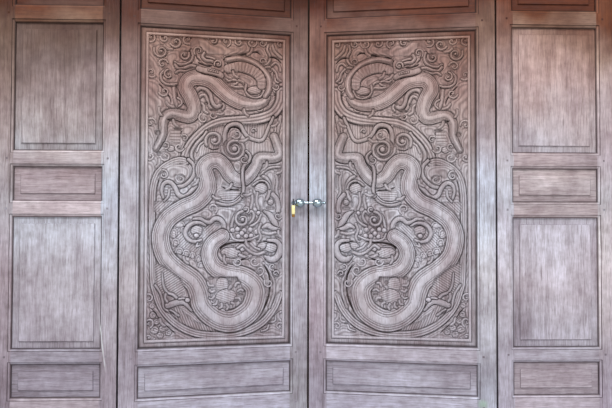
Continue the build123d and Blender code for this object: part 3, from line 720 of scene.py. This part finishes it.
    # the upper head
    level([(-100, 540), (-60, 600), (10, 600), (30, 570), (20, 500), (-60, 512)], 4)
    ridge([(-86, 532), (-60, 524), (-30, 522), (0, 514), (14, 506)], (26, 30, 26), 13, 4)
    for k in range(5):
        dome(-42 + 10 * k, 527 - 2 * k, 5, 6, top=14, moat=2, glow=0.3)
    ridge([(-62, 604), (-70, 588), (-56, 572), (-34, 570), (-16, 566)], 15, 13)
    ridge([(-50, 588), (-30, 584), (-14, 578)], 10, 11)
    curl(0, 558, 18, 200, -500, 9, 14, eye=6, glow=0.3)
    cut([(-84, 516), (-55, 508), (-20, 502), (0, 494)], 7)
    cut([(-90, 562), (-68, 553), (-46, 548), (-26, 550)], 9)

    # below the upper band: ribbons, leaves and scrolls
    level([(-130, 130), (-100, 210), (-40, 268), (30, 290), (30, 160), (-70, 140)], 4, hatch=0.7, angle=80,
          spacing=9.8)
    level([(135, 215), (235, 215), (245, 150), (150, 150)], 4, hatch=0.6, angle=90, spacing=12.6)
    level([(110, 292), (130, 230), (210, 222), (238, 296)], 3, hatch=0.8, angle=88, spacing=11.2)
    ridge([(-108, 112), (-116, 150), (-100, 188), (-78, 214), (-58, 236), (-50, 250)], 16, 11, glow=0.15)
    ridge([(-92, 160), (-80, 190), (-62, 205)], 9, 8)
    curl(-15, 214, 42, 215, -520, 15, 12, eye=10, glow=0.2)
    cut([(-42, 180), (-22, 171), (6, 176)], 6)
    ridge([(70, 272), (52, 256), (46, 230), (46, 215)], 8, 4)
    ridge([(32, 205), (32, 245), (46, 278), (76, 290), (100, 283), (116, 256), (134, 234), (160, 222), (188,
          217), (206, 226), (218, 250), (230, 280), (250, 325)], (20, 20, 18, 16, 14), 12, 3, ribs=0,
          glow=0.3)
    cut([(44, 246), (54, 270), (74, 276), (96, 268), (108, 250)], 7, 7)
    curl(75, 178, 57, 175, 760, 15, 12, 8, eye=12, glow=0.1)
    curl(160, 262, 13, 0, 380, 7, 10, eye=4, glow=0.5)
    ridge([(255, 215), (268, 250), (276, 290), (284, 330)], 17, 11)
    ridge([(240, 240), (258, 255), (262, 280)], 10, 9)

    # the shell in the left lobe, with its ribbon
    level([(-262, 30), (-250, 80), (-200, 108), (-140, 112), (-110, 90), (-120, 40), (-170, 8), (-240, 20)],
          10, 14, hatch=0.35, angle=30, spacing=6, glow=0.55)
    ridge([(-128, 124), (-108, 104), (-101, 78), (-108, 50), (-128, 24), (-152, 7), (-180, 3)], 17, 12,
          glow=0.3)
    level([(-232, 20), (-180, 20), (-165, -20), (-190, -50), (-228, -50)], 3, hatch=1.0, angle=0,
          spacing=12.6)
    level([(-275, -60), (-150, -60), (-200, -110), (-275, -110)], 3, hatch=0.9, angle=45, spacing=9.8)
    ridge([(-236, -46), (-243, -18), (-238, 10), (-220, 24), (-200, 18), (-184, -4), (-172, -30), (-150, -42),
          (-128, -32), (-108, -10), (-84, 2), (-60, 4)], (12, 20, 22, 22), 13, 3, glow=0.35)
    ridge([(-232, -60), (-215, -40), (-210, -10)], 11, 9)
    pits((-98, -36, 14, 6, 20), (-130, -60, 22, 6, 20))

    # the middle, between the two loops of the lower dragon
    level([(-40, 60), (0, 90), (40, 40), (120, 0), (200, 30), (200, -90), (-20, -90)], 2, hatch=0.5, angle=85)
    pits((-14, 61, 9, 10), (8, 32, 9, 26), (28, 10, 14, 8, 25))
    cut([(20, 6), (45, -5), (100, -8)], 6)
    ridge([(-10, 40), (-14, 10), (-10, -30)], 9, 8)
    level([(10, -10), (110, -12), (100, -50), (30, -70), (5, -50)], 7, hatch=0.9, angle=3, spacing=9.8)
    ridge([(-4, -66), (26, -74), (60, -70), (92, -54), (110, -30), (117, 0)], (10, 18, 18, 14), 13, 3,
          glow=0.35)
    ridge([(8, -56), (40, -64), (74, -58), (98, -38)], 7, 10)

    # rocks and claws at the right edge, below the tail
    level([(190, 110), (290, 110), (290, -90), (200, -90)], 3, hatch=0.5, angle=70)
    ridge([(196, 62), (216, 84), (244, 96), (282, 100)], 12, 11)
    ridge([(205, 55), (222, 44), (236, 16), (234, -24), (222, -50)], 16, 11)
    ridge([(160, 14), (182, 30), (206, 34), (226, 22), (234, 0)], 11, 12)
    dome(196, 0, 28, 24, 0, 12)
    pits((200, 28, 16, 4, -5), (286, 30, 6, 34))
    ridge([(262, 70), (270, 30), (266, -10), (276, -40)], 13, 10)
    ridge([(250, -28), (268, -50), (276, -84), (272, -110)], 22, 13)
    dome(240, -62, 13, top=14, glow=0.5)
    pits((240, -90, 22, 8), (212, -70, 6, 14), (163, -34, 5, 12), (126, -52, 8, 14))
    ridge([(150, -10), (158, -50), (150, -90)], 13, 9)
    ridge([(180, -20), (176, -60), (186, -95)], 12, 9)

    # rocks round the inside of the left bulge
    level([(-205, -200), (-170, -150), (-60, -130), (40, -150), (-60, -260), (-110, -320), (-190, -290)], 2,
          hatch=0.9, angle=45, spacing=9.8)
    for x, z, a, b in ((-165, -165, 22, 12), (-190, -205, 14, 20), (-182, -245, 14, 16), (-166, -282, 16, 14),
                       (-135, -292, 14, 14), (-108, -302, 12, 12), (-150, -190, 10, 12), (-82, -318, 12, 14),
                       (-70, -345, 14, 12)):
        dome(x, z, a, b, 0, 8, moat=2)
        ridge([(x - a, z - 0.4 * b), (x - 0.5 * a, z + 0.9 * b), (x + 0.6 * a, z + 0.8 * b), (x + a,
              z - 0.2 * b)], 7, 10, moat=2)

    # the arm over the left bulge, ending in a scroll
    ridge([(66, -222), (44, -212), (33, -190), (27, -160), (10, -140), (-12, -138), (-34, -154), (-56, -150),
          (-76, -138), (-104, -140)], (20, 22, 22, 18, 12), 14, 3, glow=0.15)
    cut([(30, -200), (22, -165), (4, -150), (-14, -152)], 3, 2)
    pit(0, -164, 14, 9, -20)
    ridge([(-52, -168), (-76, -156), (-106, -158), (-132, -178), (-140, -206), (-124, -232), (-94, -240),
          (-70, -232)], (10, 18, 20, 18, 12), 14, 2, glow=0.5)
    dome(-90, -192, 26, 24, 0, 10)
    dome(-92, -213, 12, 10, 0, 13, glow=0.4)
    pit(-62, -200, 8, 14)
    ridge([(-76, -256), (-92, -262), (-86, -246)], 8, 8)

    # the lower dragon
    lower = [(22, -217), (-19, -249), (-35, -299), (-10, -354), (45, -381), (118, -399), (168, -440), (174,
              -490), (145, -554), (72, -595), (0, -581), (-60, -526), (-78, -463), (-105, -413), (-182, -354),
              (-228, -299), (-246, -217), (-219, -145), (-155, -95), (-91, -63), (-51, -17), (-46, 28), (-60,
              83), (-37, 115), (0, 121), (31, 96), (58, 55), (99, 33), (140, 55), (172, 101), (190, 137),
              (254, 140), (279, 155), (272, 192), (254, 237)]
    ridge(lower, (66, 72, 84, 96, 100, 98, 94, 86, 78, 76, 78, 80, 72, 62, 54, 46, 36), 18, 6, "body", moat=9,
          ribs=3, glow=0.15)

    # the hanging ribbon over the dragon's back
    ridge([(128, 168), (146, 146), (140, 122), (122, 106), (113, 84), (112, 40), (117, 0), (112, -36)], (12,
          15, 16, 14), 19.5, 5, glow=0.5)

    # inside the low loop
    level([(-30, -395), (90, -395), (122, -450), (105, -520), (40, -550), (-20, -510), (-42, -450)], 3,
          hatch=0.7, angle=90)
    dome(26, -436, 30, 38, 10, 9, moat=2)
    dome(42, -488, 46, 36, 0, 9, moat=2)
    for x, z, a in ((-30, -428, 13), (-22, -458, 14), (-24, -488, 12), (-8, -514, 13), (16, -528, 14), (44,
                    -534, 14), (72, -524, 13), (96, -500, 14), (106, -462, 13), (92, -432, 14), (60, -446,
                    15)):
        aside, up = (x - 40) / 80, (z + 470) / 80
        ridge([(x + 12 * aside, z + 12 * up), (x - 8 * up, z + 8 * aside), (x - 16 * aside, z - 16 * up)],
              0.9 * a, 10, moat=3)
    pits((-26, -403, 14, 9), (58, -424, 10, 10), (106, -478, 14, 6), (84, -506, 11, 8))

    # the lower head, seen in profile: muzzle to the right, beaded mane to the left
    level([(60, -100), (200, -100), (290, -110), (290, -330), (200, -345), (60, -320), (14, -290), (20, -262),
          (110, -245)], 2, hatch=0.3, angle=20)
    cut([(16, -286), (22, -262), (60, -248), (110, -244), (150, -240)], 9, 8)
    ridge([(26, -300), (24, -280), (44, -266), (70, -268), (84, -284), (80, -304)], 14, 11)
    dome(62, -290, 44, 24, -4, 12)
    dome(112, -274, 12, 10, 0, 13, glow=0.3)
    ridge([(92, -270), (112, -258), (132, -272), (152, -290), (180, -298), (208, -290)], 14, 12)
    ridge([(100, -300), (128, -312), (150, -305)], 15, 10)
    cut([(100, -326), (122, -318), (140, -308)], 7, 6)
    ridge([(60, -196), (66, -160), (78, -126), (104, -108), (130, -118), (152, -104), (164, -122), (156,
          -146), (140, -160)], 13, 13)
    curl(127, -96, 17, 250, 420, 9, 14, eye=6, glow=0.4)
    curl(112, -142, 37, 90, 560, 13, 15, eye=9, glow=0.2)
    dome(185, -112, 10, top=14, glow=0.5)
    ridge([(196, -120), (186, -145), (170, -160), (150, -170)], 12, 12)
    for x, z in ((68, -186), (90, -182), (120, -188), (148, -184), (176, -194), (94, -214), (128, -213), (152,
                 -212), (110, -200)):
        dome(x, z - 3, 11, top=14, glow=0.3, moat=3)
    ridge([(60, -205), (72, -228), (104, -236), (140, -232), (170, -222), (196, -208)], 9, 9)
    ridge([(196, -160), (186, -190), (196, -220), (184, -240)], 12, 11)
    ridge([(210, -104), (234, -118), (254, -146), (270, -176)], (10, 26, 30, 20), 15, 3, glow=0.35)
    ridge([(204, -178), (226, -168), (250, -180), (282, -186)], (12, 24, 22, 10), 14, 3, glow=0.3)
    ridge([(206, -200), (232, -206), (262, -200)], 14, 10)
    ridge([(230, -236), (262, -240), (280, -258), (282, -290), (264, -316), (238, -322), (220, -308)], (16,
          24, 30, 30, 20), 17, 3, glow=0.45)
    dome(242, -268, 28, 22, 0, 12)
    pits((224, -298, 12, 8), (270, -222, 10, 5))
    cut([(206, -238), (236, -244), (262, -250)], 6, 6)
    dome(200, -262, 22, 16, 30, 11)
    ridge([(150, -250), (168, -268), (190, -276)], 10, 10)
    pit(180, -232, 8, 5)

    # right edge between the head and the low loop
    level([(205, -345), (285, -345), (285, -470), (235, -540), (215, -480)], 2, hatch=0.4, angle=80)
    ridge([(206, -338), (228, -360), (246, -392), (258, -430), (256, -480), (236, -540)], 12, 9)
    cut([(212, -345), (234, -392), (238, -440), (230, -500), (206, -556)], 8, 7)
    dome(263, -386, 16, 16, 0, 13)
    curl(263, -386, 15, 0, 340, 7, 13)
    pits((232, -470, 7, 16), (284, -350, 8, 20))

    # the hatched hollows at the lower left, with the claw
    level([(-272, -330), (-225, -345), (-155, -400), (-138, -450), (-160, -490), (-235, -470), (-268, -420)],
          3, 8, hatch=1.0, angle=32, spacing=9.8)
    level([(-215, -545), (-170, -520), (-110, -585), (-20, -620), (10, -645), (-90, -632), (-165, -595)], 3,
          6, hatch=1.0, angle=112, spacing=9.8)
    ridge([(-238, -378), (-232, -430), (-216, -462), (-190, -474), (-172, -492), (-160, -506)], (8, 12, 14,
          16), 12, 2, glow=0.2)
    ridge([(-268, -430), (-246, -464), (-236, -496), (-228, -530), (-206, -548)], 12, 9)
    ridge([(-214, -520), (-190, -512), (-166, -506), (-140, -512), (-110, -545)], (26, 28, 20, 10), 12, 2)
    ridge([(-165, -492), (-145, -490), (-128, -498)], 9, 11)
    dome(-128, -498, 12, 10, 0, 13, glow=0.45)
    ridge([(-202, -540), (-184, -552), (-166, -566)], 11, 11)
    pit(-196, -552, 14, 5, -30)

    # scallops in the two lower corners
    for x, z, a in ((-280, -520, 12), (-276, -560, 14), (-262, -590, 13), (-270, -625, 18), (-235, -620, 14),
                    (-210, -640, 13), (-245, -650, 14)):
        dome(x, z, a, a, 0, 7)
        cut(swirl(x, z, 1, a * 0.6, 0, 290), 3, 2)
    cut([(-284, -530), (-262, -558), (-240, -590), (-205, -620), (-180, -645)], 5)
    level([(200, -660), (290, -660), (290, -560)], 3, hatch=0.5, angle=0)
    ridge([(290, -560), (268, -575), (262, -600), (236, -612), (226, -636), (200, -645)], 9, 8)
    pit(240, -612, 10, 5)

    # hollows beside the dragons' tails and necks
    pits((-205, 300, 16, 6), (-262, 240, 12, 12), (-257, 148, 9, 11), (-175, 260, 20, 6), (-163, 246, 6, 8))
    level([(-205, 255), (-160, 255), (-165, 200), (-215, 200)], 5, hatch=1.0, angle=0, spacing=14)
    level([(-225, 195), (-165, 195), (-160, 140), (-235, 150)], 4, hatch=0.5, angle=45)
    dome(-205, 172, 16, 14, 0, 8)
    fill_ground(c)
    return c


# The carved panels, as meshes

FACE_CORNER = Vector((-0.819876, -0.0213137, 0.110))  # front bottom corner of the left leaf, at its outer side
PANEL_MIDDLE = (0.414, 1.0165)  # middle of the carved opening, across and up the leaf
PANEL_HALF = (0.332, 0.7035)
BEAD_INSET = 35  # from the opening's edge to the relief, in millimetres
GROUND, BACK = 20, 34                                      # how deep the sunk ground and the board's back lie
# The board's back and edge as (inset from the opening's edge, depth), in millimetres, from its middle outwards
BACK_RINGS = ((250, BACK), (120, BACK))
EDGE_RINGS = ((0, BACK), (0, 29), (-10, 29), (-10, 15), (0, 15))
MARGIN_DIRT_AND_SHADE = {0: 0.75, 10: 0.25, 19: 0.3, 20.5: 0.85, 21.8: 0.85, 34.6: 0.8, 35.2: 0.9}   # dirt with painted shade at the opening's edge, in the groove and at the bead's foot, by inset


def leaf_points(across, up, depth, mirrored):
    """World places of points in millimetres from the carved opening's middle and behind the leaf's face."""
    across, up, depth = (v / 1000 for v in np.broadcast_arrays(across, up, depth))
    out = np.empty(across.shape + (3,))
    for axis in range(3):
        out[..., axis] = FACE_CORNER[axis] + ALONG[axis] * (PANEL_MIDDLE[0] + across) - OUTWARD[axis] * depth
    out[..., 2] += PANEL_MIDDLE[1] + up
    if mirrored:
        out[..., 0] *= -1
    return out


def grid_mesh(name, points, flip, values=None, closed=False):
    """A mesh of quads from a grid of points, with any values of its vertices as attributes."""
    rows, columns = points.shape[:2]
    index = np.arange(rows * columns).reshape(rows, columns)
    if closed:
        index = np.concatenate([index, index[:, :1]], 1)
    quads = np.stack([index[:-1, :-1], index[1:, :-1], index[1:, 1:], index[:-1, 1:]], -1).reshape(-1, 4)
    if flip:
        quads = quads[:, ::-1]
    mesh = bpy.data.meshes.new(name)
    mesh.vertices.add(rows * columns)
    mesh.vertices.foreach_set("co", points.reshape(-1).astype(np.float32))
    mesh.loops.add(quads.size)
    mesh.loops.foreach_set("vertex_index", quads.reshape(-1).astype(np.int32))
    mesh.polygons.add(len(quads))
    mesh.polygons.foreach_set("loop_start", np.arange(0, quads.size, 4, dtype=np.int32))
    mesh.polygons.foreach_set("use_smooth", np.ones(len(quads), bool))
    for key, field in (values or {}).items():
        attribute = mesh.attributes.new(key, "FLOAT", "POINT")
        attribute.data.foreach_set("value", field.reshape(-1).astype(np.float32))
    mesh.update(calc_edges=True)
    mesh.validate()
    piece = bpy.data.objects.new(name, mesh)
    bpy.context.scene.collection.objects.link(piece)
    return piece


def rim_profile():
    """(inset from the opening's edge, depth behind the face) of margin, groove and bead, in millimetres."""
    bead = [(28 + 6 * math.cos(a), 12.5 - 5.5 * math.sin(a)) for a in np.linspace(math.pi, 0, 9)]
    return [(0, 12), (10, 11.7), (19, 12), (20.5, 14.5), (21.8, 14.5)] + bead + [(34.6, 16), (35.2, 21)]


def rectangle_ring(inset, spacing=20.0):
    """Points round the opening at an inset, in millimetres, with as many for every inset."""
    a, b = PANEL_HALF[0] * 1000, PANEL_HALF[1] * 1000
    counts = [int(2 * a / spacing), int(2 * b / spacing)] * 2
    corners = [(-a, -b), (a, -b), (a, b), (-a, b), (-a, -b)]
    ring = []
    for (p, q), n in zip(zip(corners, corners[1:]), counts):
        for t in np.arange(n) / n:
            ring.append((p[0] + (q[0] - p[0]) * t, p[1] + (q[1] - p[1]) * t))
    ring = np.array(ring)
    return ring * ((a - inset) / a, (b - inset) / b)


def surface_values(c):
    """How sooty and how rubbed each point of the relief is, with its fine lines; the soot holds painted shade in
    hollows and on faces that look down, the rubbing a painted highlight on crests and faces that look up.
    """
    near, wide, far = (blur(c.h, reach) for reach in (3, 9, 22))
    rise = -np.gradient(c.h, PITCH, axis=0)                # above 0 where the surface looks up
    # painted shade with soot: darker in hollows, on faces that look down and in deep pits
    soot_and_shade = ((near - c.h) * 0.11 + (wide - c.h) * 0.05 + (far - c.h) * 0.015 - 0.03
            + np.clip(-rise - 0.12, 0, 1.2) * 0.28 + np.clip(-2 - c.h, 0, 4) * 0.15)
    # painted highlight with wear: lighter on crests, on faces that look up and where a form is given a highlight
    rub = (np.clip((c.h - wide) * 0.07 + (c.h - far) * 0.010, 0, 0.33)
           + np.clip(rise - 0.1, 0, 1) * 0.4 + c.glow * 0.2)
    return {"soot_and_shade": np.clip(soot_and_shade, 0, 1), "rub": np.clip(rub, 0, 1), "lines": c.hatch, "phase": c.phase}


def hand_in(piece, material, body, node):
    piece.data.materials.append(material)
    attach(piece, body)
    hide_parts(node)


def build_board(name, mirrored):
    """The board behind the relief: a shut back, the tongue round its edge, and the margin up to the bead."""
    def ring(inset, depth):
        points = rectangle_ring(inset)
        return leaf_points(points[:, 0], points[:, 1], depth, mirrored)

    rim = rim_profile()
    last = rectangle_ring(BACK_RINGS[-1][0])
    up = np.sign(last[:, 1]) * np.maximum(abs(last[:, 1]) - PANEL_HALF[0] * 1000, 0)
    middle = leaf_points(last[:, 0] * 0, up, BACK, mirrored)
    grid = np.array([middle] + [ring(*place) for place in (*BACK_RINGS, *EDGE_RINGS, *rim)])
    dirt_and_shade, worn_and_highlight = np.zeros(grid.shape[:2]), np.zeros(grid.shape[:2])
    for k, (inset, depth) in enumerate(rim, len(grid) - len(rim)):
        # dirt with painted shade in the recesses, and wear with a painted highlight on the bead's raised crest
        dirt_and_shade[k] = MARGIN_DIRT_AND_SHADE.get(inset, 0.0)
        worn_and_highlight[k] = 0.45 if depth < 9 else 0.0
    values = {"soot_and_shade": dirt_and_shade, "rub": worn_and_highlight, "lines": dirt_and_shade * 0, "phase": dirt_and_shade * 0}
    return grid_mesh(name, grid, not mirrored, values, closed=True)


def build_panels():
    c = carve(PANEL_HALF[0] * 1000 - BEAD_INSET, PANEL_HALF[1] * 1000 - BEAD_INSET)
    fields = surface_values(c)
    cuts = np.linspace(0, len(c.z) - 1, 4).astype(int)
    for side, mirrored in (("left", False), ("right", True)):
        material = wood(f"wood_{side}_carving", "Z", f"{side}_door", 7.3 if mirrored else 3.1, carved=True)
        body, node = f"{side}_door", f"{side}_door_carved_panel"
        for k, (top, bottom) in enumerate(zip(cuts, cuts[1:])):
            rows = slice(top, bottom + 1)
            across, up = c.X[rows] + DRAWN_ASIDE[0], c.Z[rows] + DRAWN_ASIDE[1]
            points = leaf_points(across, up, GROUND - c.h[rows], mirrored)
            values = {name: field[rows] for name, field in fields.items()}
            piece = grid_mesh(f"{side}_relief_{k + 1}", points, mirrored, values)
            hand_in(piece, material, body, node)
        hand_in(build_board(f"{side}_board", mirrored), material, body, node)



build_panels()


# The lock, smooth where the solids are faceted

BOSS_MIDDLE = Vector((-0.039657, 0.077326, 1.059))  # middle of the left boss; the lock's axis runs along X
EYE_X = -0.069157
BEND_Z, CASE_TOP = 1.064, 1.0465
LEG_GAP, SHACKLE_RADIUS = 0.021, 0.0029
SIDEWAYS, UPWARD = Vector((1, 0, 0)), Vector((0, 0, 1))
CREASE = 35                                                # degrees over which an edge stays sharp


def dress(piece, material, body, node):
    """Closes and orients a piece, then hands it to its body in place of a node."""
    net = bmesh.new()
    net.from_mesh(piece.data)
    bmesh.ops.remove_doubles(net, verts=net.verts, dist=1e-6)
    bmesh.ops.recalc_face_normals(net, faces=net.faces)
    net.to_mesh(piece.data)
    net.free()
    piece.data.set_sharp_from_angle(angle=math.radians(CREASE))
    hand_in(piece, material, body, node)


def turned(name, start, axis, profile, steps=56):
    """A turned piece from (along, radius) points in millimetres; a profile that closes on itself is a ring."""
    axis = Vector(axis).normalized()
    side = axis.orthogonal().normalized()
    other = axis.cross(side)
    angles = np.linspace(0, 2 * math.pi, steps, endpoint=False)
    around = np.outer(np.cos(angles), side) + np.outer(np.sin(angles), other)
    rows = [np.array(start) + np.array(axis) * a / 1000 + around * r / 1000 for a, r in profile]
    return grid_mesh(name, np.array(rows), False, closed=True)


def arc(middle, radius, start, end, steps):
    """(along, radius) points of part of a circle, from one angle to another in degrees."""
    angles = np.radians(np.linspace(start, end, steps))
    return [(middle[0] + radius * math.cos(t), middle[1] + radius * math.sin(t)) for t in angles]


def barrel_profile(bore):
    """A barrel with blunt ends and a small collar at each, round a bore if there is one."""
    side = [(20.4 * t, 20.3 * (1 - abs(0.86 * t) ** 2.3) ** 0.5) for t in np.linspace(-1, 1, 33)]
    collar = [(20.4, 9.6), (21.2, 9.6), (22, 9.0), (22, bore)]
    return [(-a, r) for a, r in reversed(collar)] + side + collar + ([(-22, bore)] if bore else [])


def build_lock():
    foot = [(0, 0), (0, 16), (1.6, 16), (2.6, 15.4), (3, 14.4), (3, 12.2), (3.8, 11.2), (6, 10.4),
            (10, 10.2), (15, 11)]
    for side, sign in (("left", 1), ("right", -1)):
        middle = Vector((sign * BOSS_MIDDLE.x, BOSS_MIDDLE.y, BOSS_MIDDLE.z))
        outward = Vector((sign * OUTWARD.x, OUTWARD.y, 0))
        body, node = f"{side}_door", f"{side}_lock_boss"
        pieces = [
            turned(f"{side}_barrel", middle, SIDEWAYS, barrel_profile(6.85 if side == "right" else 0)),
            turned(f"{side}_foot", middle - outward * 0.026, outward, foot + [(15, 0)]),
        ]
        if side == "left":
            neck = [(0, 0), (0, 6.5), (37.2, 6.5), (38.4, 5.6), (38.4, 0)]
            pieces.append(turned("left_neck", middle, SIDEWAYS, neck))
            ring = [(6.2 * math.sin(t), 6.25 + 2.35 * math.cos(t)) for t in np.linspace(0, 2 * math.pi, 25)]
            pieces.append(turned("left_eye", (EYE_X, middle.y, middle.z), UPWARD, ring))
        for piece in pieces:
            dress(piece, chrome, body, node)

    tail = -BOSS_MIDDLE.x * 1000 + 32
    bolt = [(1.2, 0), (1.2, 5.6), (2.2, 6.5), (tail - 9, 6.5), (tail - 7.4, 5.2), (tail - 6.4, 4.4)]
    bolt += arc((tail, 0), 7, 140, 0, 18)
    bolt_bar = turned("bolt_bar", (0, BOSS_MIDDLE.y, BOSS_MIDDLE.z), SIDEWAYS, bolt)
    dress(bolt_bar, chrome, "bolt", "lock_bolt")

    # the shackle: a round bar up one leg, over the bend and down the other
    route = [(0, CASE_TOP - 0.029), (0, BEND_Z)]
    for a in np.linspace(0, math.pi, 17)[1:]:
        route.append((LEG_GAP / 2 * (math.cos(a) - 1), BEND_Z + LEG_GAP / 2 * math.sin(a)))
    route.append((-LEG_GAP, CASE_TOP - 0.009))
    rows = []
    for i, (y, z) in enumerate(route):
        before, after = route[max(i - 1, 0)], route[min(i + 1, len(route) - 1)]
        ahead = Vector((0, after[0] - before[0], after[1] - before[1])).normalized()
        across = SIDEWAYS.cross(ahead)
        place = Vector((EYE_X, BOSS_MIDDLE.y + y, z))
        ring = [place + SHACKLE_RADIUS * (math.cos(a) * SIDEWAYS + math.sin(a) * across)
                for a in np.linspace(0, 2 * math.pi, 16, endpoint=False)]
        if i in (0, len(route) - 1):
            rows += [ring, [sum(ring, Vector()) / 16] * 16][::(-1 if i == 0 else 1)]
        else:
            rows.append(ring)
    dress(grid_mesh("shackle_bar", np.array([[tuple(p) for p in row] for row in rows]), False, closed=True),
          dark_steel, "shackle", "padlock_shackle")

    # the case: a rounded block with eased edges, a darker cap below and a collar round each leg
    middle_y = BOSS_MIDDLE.y - LEG_GAP / 2

    def rounded_block(name, size, levels, corner):
        """A block along Z from (height, inset) levels, both in millimetres, with rounded upright corners."""
        rows = []
        for z, inset in levels:
            half = (size[0] / 2 - inset, size[1] / 2 - inset)
            r = max(min(corner, half[0], half[1]) - inset * 0.3, 0.01)
            ring = []
            for quarter in range(4):
                cx = (half[0] - r) * (1 if quarter in (0, 3) else -1)
                cy = (half[1] - r) * (1 if quarter < 2 else -1)
                for a in np.radians(np.linspace(90 * quarter, 90 * quarter + 90, 7)):
                    ring.append((EYE_X + (cx + r * math.cos(a)) / 1000, middle_y + (cy + r * math.sin(a)) / 1000,
                                 z / 1000))
            rows.append(ring)
        for end in (0, -1):
            centre = tuple(np.mean(rows[end], 0))
            rows.insert(0 if end == 0 else len(rows), [centre] * len(rows[0]))
        return grid_mesh(name, np.array(rows), False, closed=True)

    top = CASE_TOP * 1000
    block = [(top - 40, 1.4), (top - 39.6, 0.5), (top - 38.9, 0), (top - 1.2, 0), (top - 0.4, 0.4), (top, 1.2)]
    dress(rounded_block("case_block", (17, 38), block, 3.2), brass, "case", "padlock_case")
    cap = [(top - 52, 1.6), (top - 51.4, 0.6), (top - 50.6, 0), (top - 43, 0), (top - 42.4, 0.9),
           (top - 41.4, 0.9), (top - 40, 0.2)]
    dress(rounded_block("case_cap", (14, 35), cap, 3), dull_brass, "case", "padlock_case")
    collar = [(-0.5, 3.3), (-0.5, 5.2), (0.3, 5.2), (0.7, 4.8), (0.7, 3.6), (0.4, 3.3), (-0.5, 3.3)]
    for place, y in (("back", BOSS_MIDDLE.y), ("front", BOSS_MIDDLE.y - LEG_GAP)):
        piece = turned(f"case_collar_{place}", (EYE_X, y, CASE_TOP), UPWARD, collar, 28)
        dress(piece, dull_brass, "case", "padlock_case")


build_lock()


# Stage, lights and camera

# The floor ends a little way in, so that nothing pale shows through the gap between the leaves
bpy.ops.mesh.primitive_plane_add(size=1, location=(0, -7.0, 0))
floor = bpy.context.object
floor.scale = (30, 15, 1)
floor.name = "floor"
material, s, surface = new_material("floor")
grit = s.noise(s.add("ShaderNodeTexCoord").outputs["Object"], 3.0)
s.feed(surface["Base Color"], s.ramp(grit, (0.3, srgb(214, 212, 208)), (0.7, srgb(226, 224, 220))))
surface["Roughness"].default_value = 0.8
floor.data.materials.append(material)


def area(name, place, target, size, power, colour=(1, 1, 1)):
    light = bpy.data.objects.new(name, bpy.data.lights.new(name, "AREA"))
    light.data.shape = "RECTANGLE"
    light.data.size, light.data.size_y = size
    light.data.energy = power
    light.data.color = colour
    light.location = place
    light.rotation_euler = (Vector(target) - Vector(place)).to_track_quat("-Z", "Y").to_euler()
    bpy.context.scene.collection.objects.link(light)


area("key", (-1.0, -2.6, 4.6), (0, 0, 0.9), (3.0, 1.2), 185, (1.0, 0.99, 0.98))
area("fill", (1.5, -5.0, 1.4), (0, 0, 1.0), (4.0, 3.0), 95, (0.95, 0.97, 1.0))
area("back", (0.5, 4.5, 3.5), (0, 0, 1.2), (4.0, 3.0), 130)

world = bpy.data.worlds.new("studio")
world.use_nodes = True
tree = world.node_tree
s = Shader(tree)
lit = tree.nodes["Background"]
lit.inputs["Color"].default_value = (0.83, 0.86, 0.92, 1)
lit.inputs["Strength"].default_value = 0.25
# The camera sees pale grey round the door, but the dim hall behind it when it looks straight in
inward = s.split(s.add("ShaderNodeTexCoord").outputs["Generated"], "Y")
hall = s.ramp(inward, (0.0, (0.62, 0.63, 0.65)), (0.5, (0.42, 0.42, 0.43)), (0.74, (0.15, 0.14, 0.14)),
              (0.91, (0.025, 0.018, 0.014)), (1.0, (0.012, 0.007, 0.005)), interpolation="EASE")
seen = s.add("ShaderNodeBackground", {"Color": hall})
path = s.add("ShaderNodeLightPath").outputs
direct = s.math("MAXIMUM", path["Is Camera Ray"], path["Is Glossy Ray"])
shown = s.add("ShaderNodeMixShader", {"Fac": direct, 1: lit.outputs[0], 2: seen.outputs[0]})
s.feed(tree.nodes["World Output"].inputs["Surface"], shown.outputs[0])
bpy.context.scene.world = world
bpy.context.scene.view_settings.view_transform = "Standard"

IMAGE_WIDTH, FOCAL_PIXELS, SENSOR = 612, 609, 36           # the photo's width, and its focal length in pixels
CAMERA_PAN, CAMERA_TILT, CAMERA_ROLL = -1.67, 1.41, -0.13  # degrees
CAMERA_PLACE = (-0.092, -2.675, 0.986)
camera = bpy.data.objects.new("camera", bpy.data.cameras.new("camera"))
camera.data.sensor_width = SENSOR
camera.data.lens = FOCAL_PIXELS / IMAGE_WIDTH * SENSOR
turn = (Matrix.Rotation(math.radians(CAMERA_PAN), 3, "Z") @ Matrix.Rotation(math.radians(CAMERA_TILT), 3, "X")
        @ Matrix.Rotation(math.radians(CAMERA_ROLL), 3, "Y"))
right, ahead, up = (Vector(c) for c in turn.transposed())
pose = Matrix((right, up, -ahead)).transposed().to_4x4()
pose.translation = CAMERA_PLACE
camera.matrix_world = pose
bpy.context.scene.collection.objects.link(camera)
bpy.context.scene.camera = camera
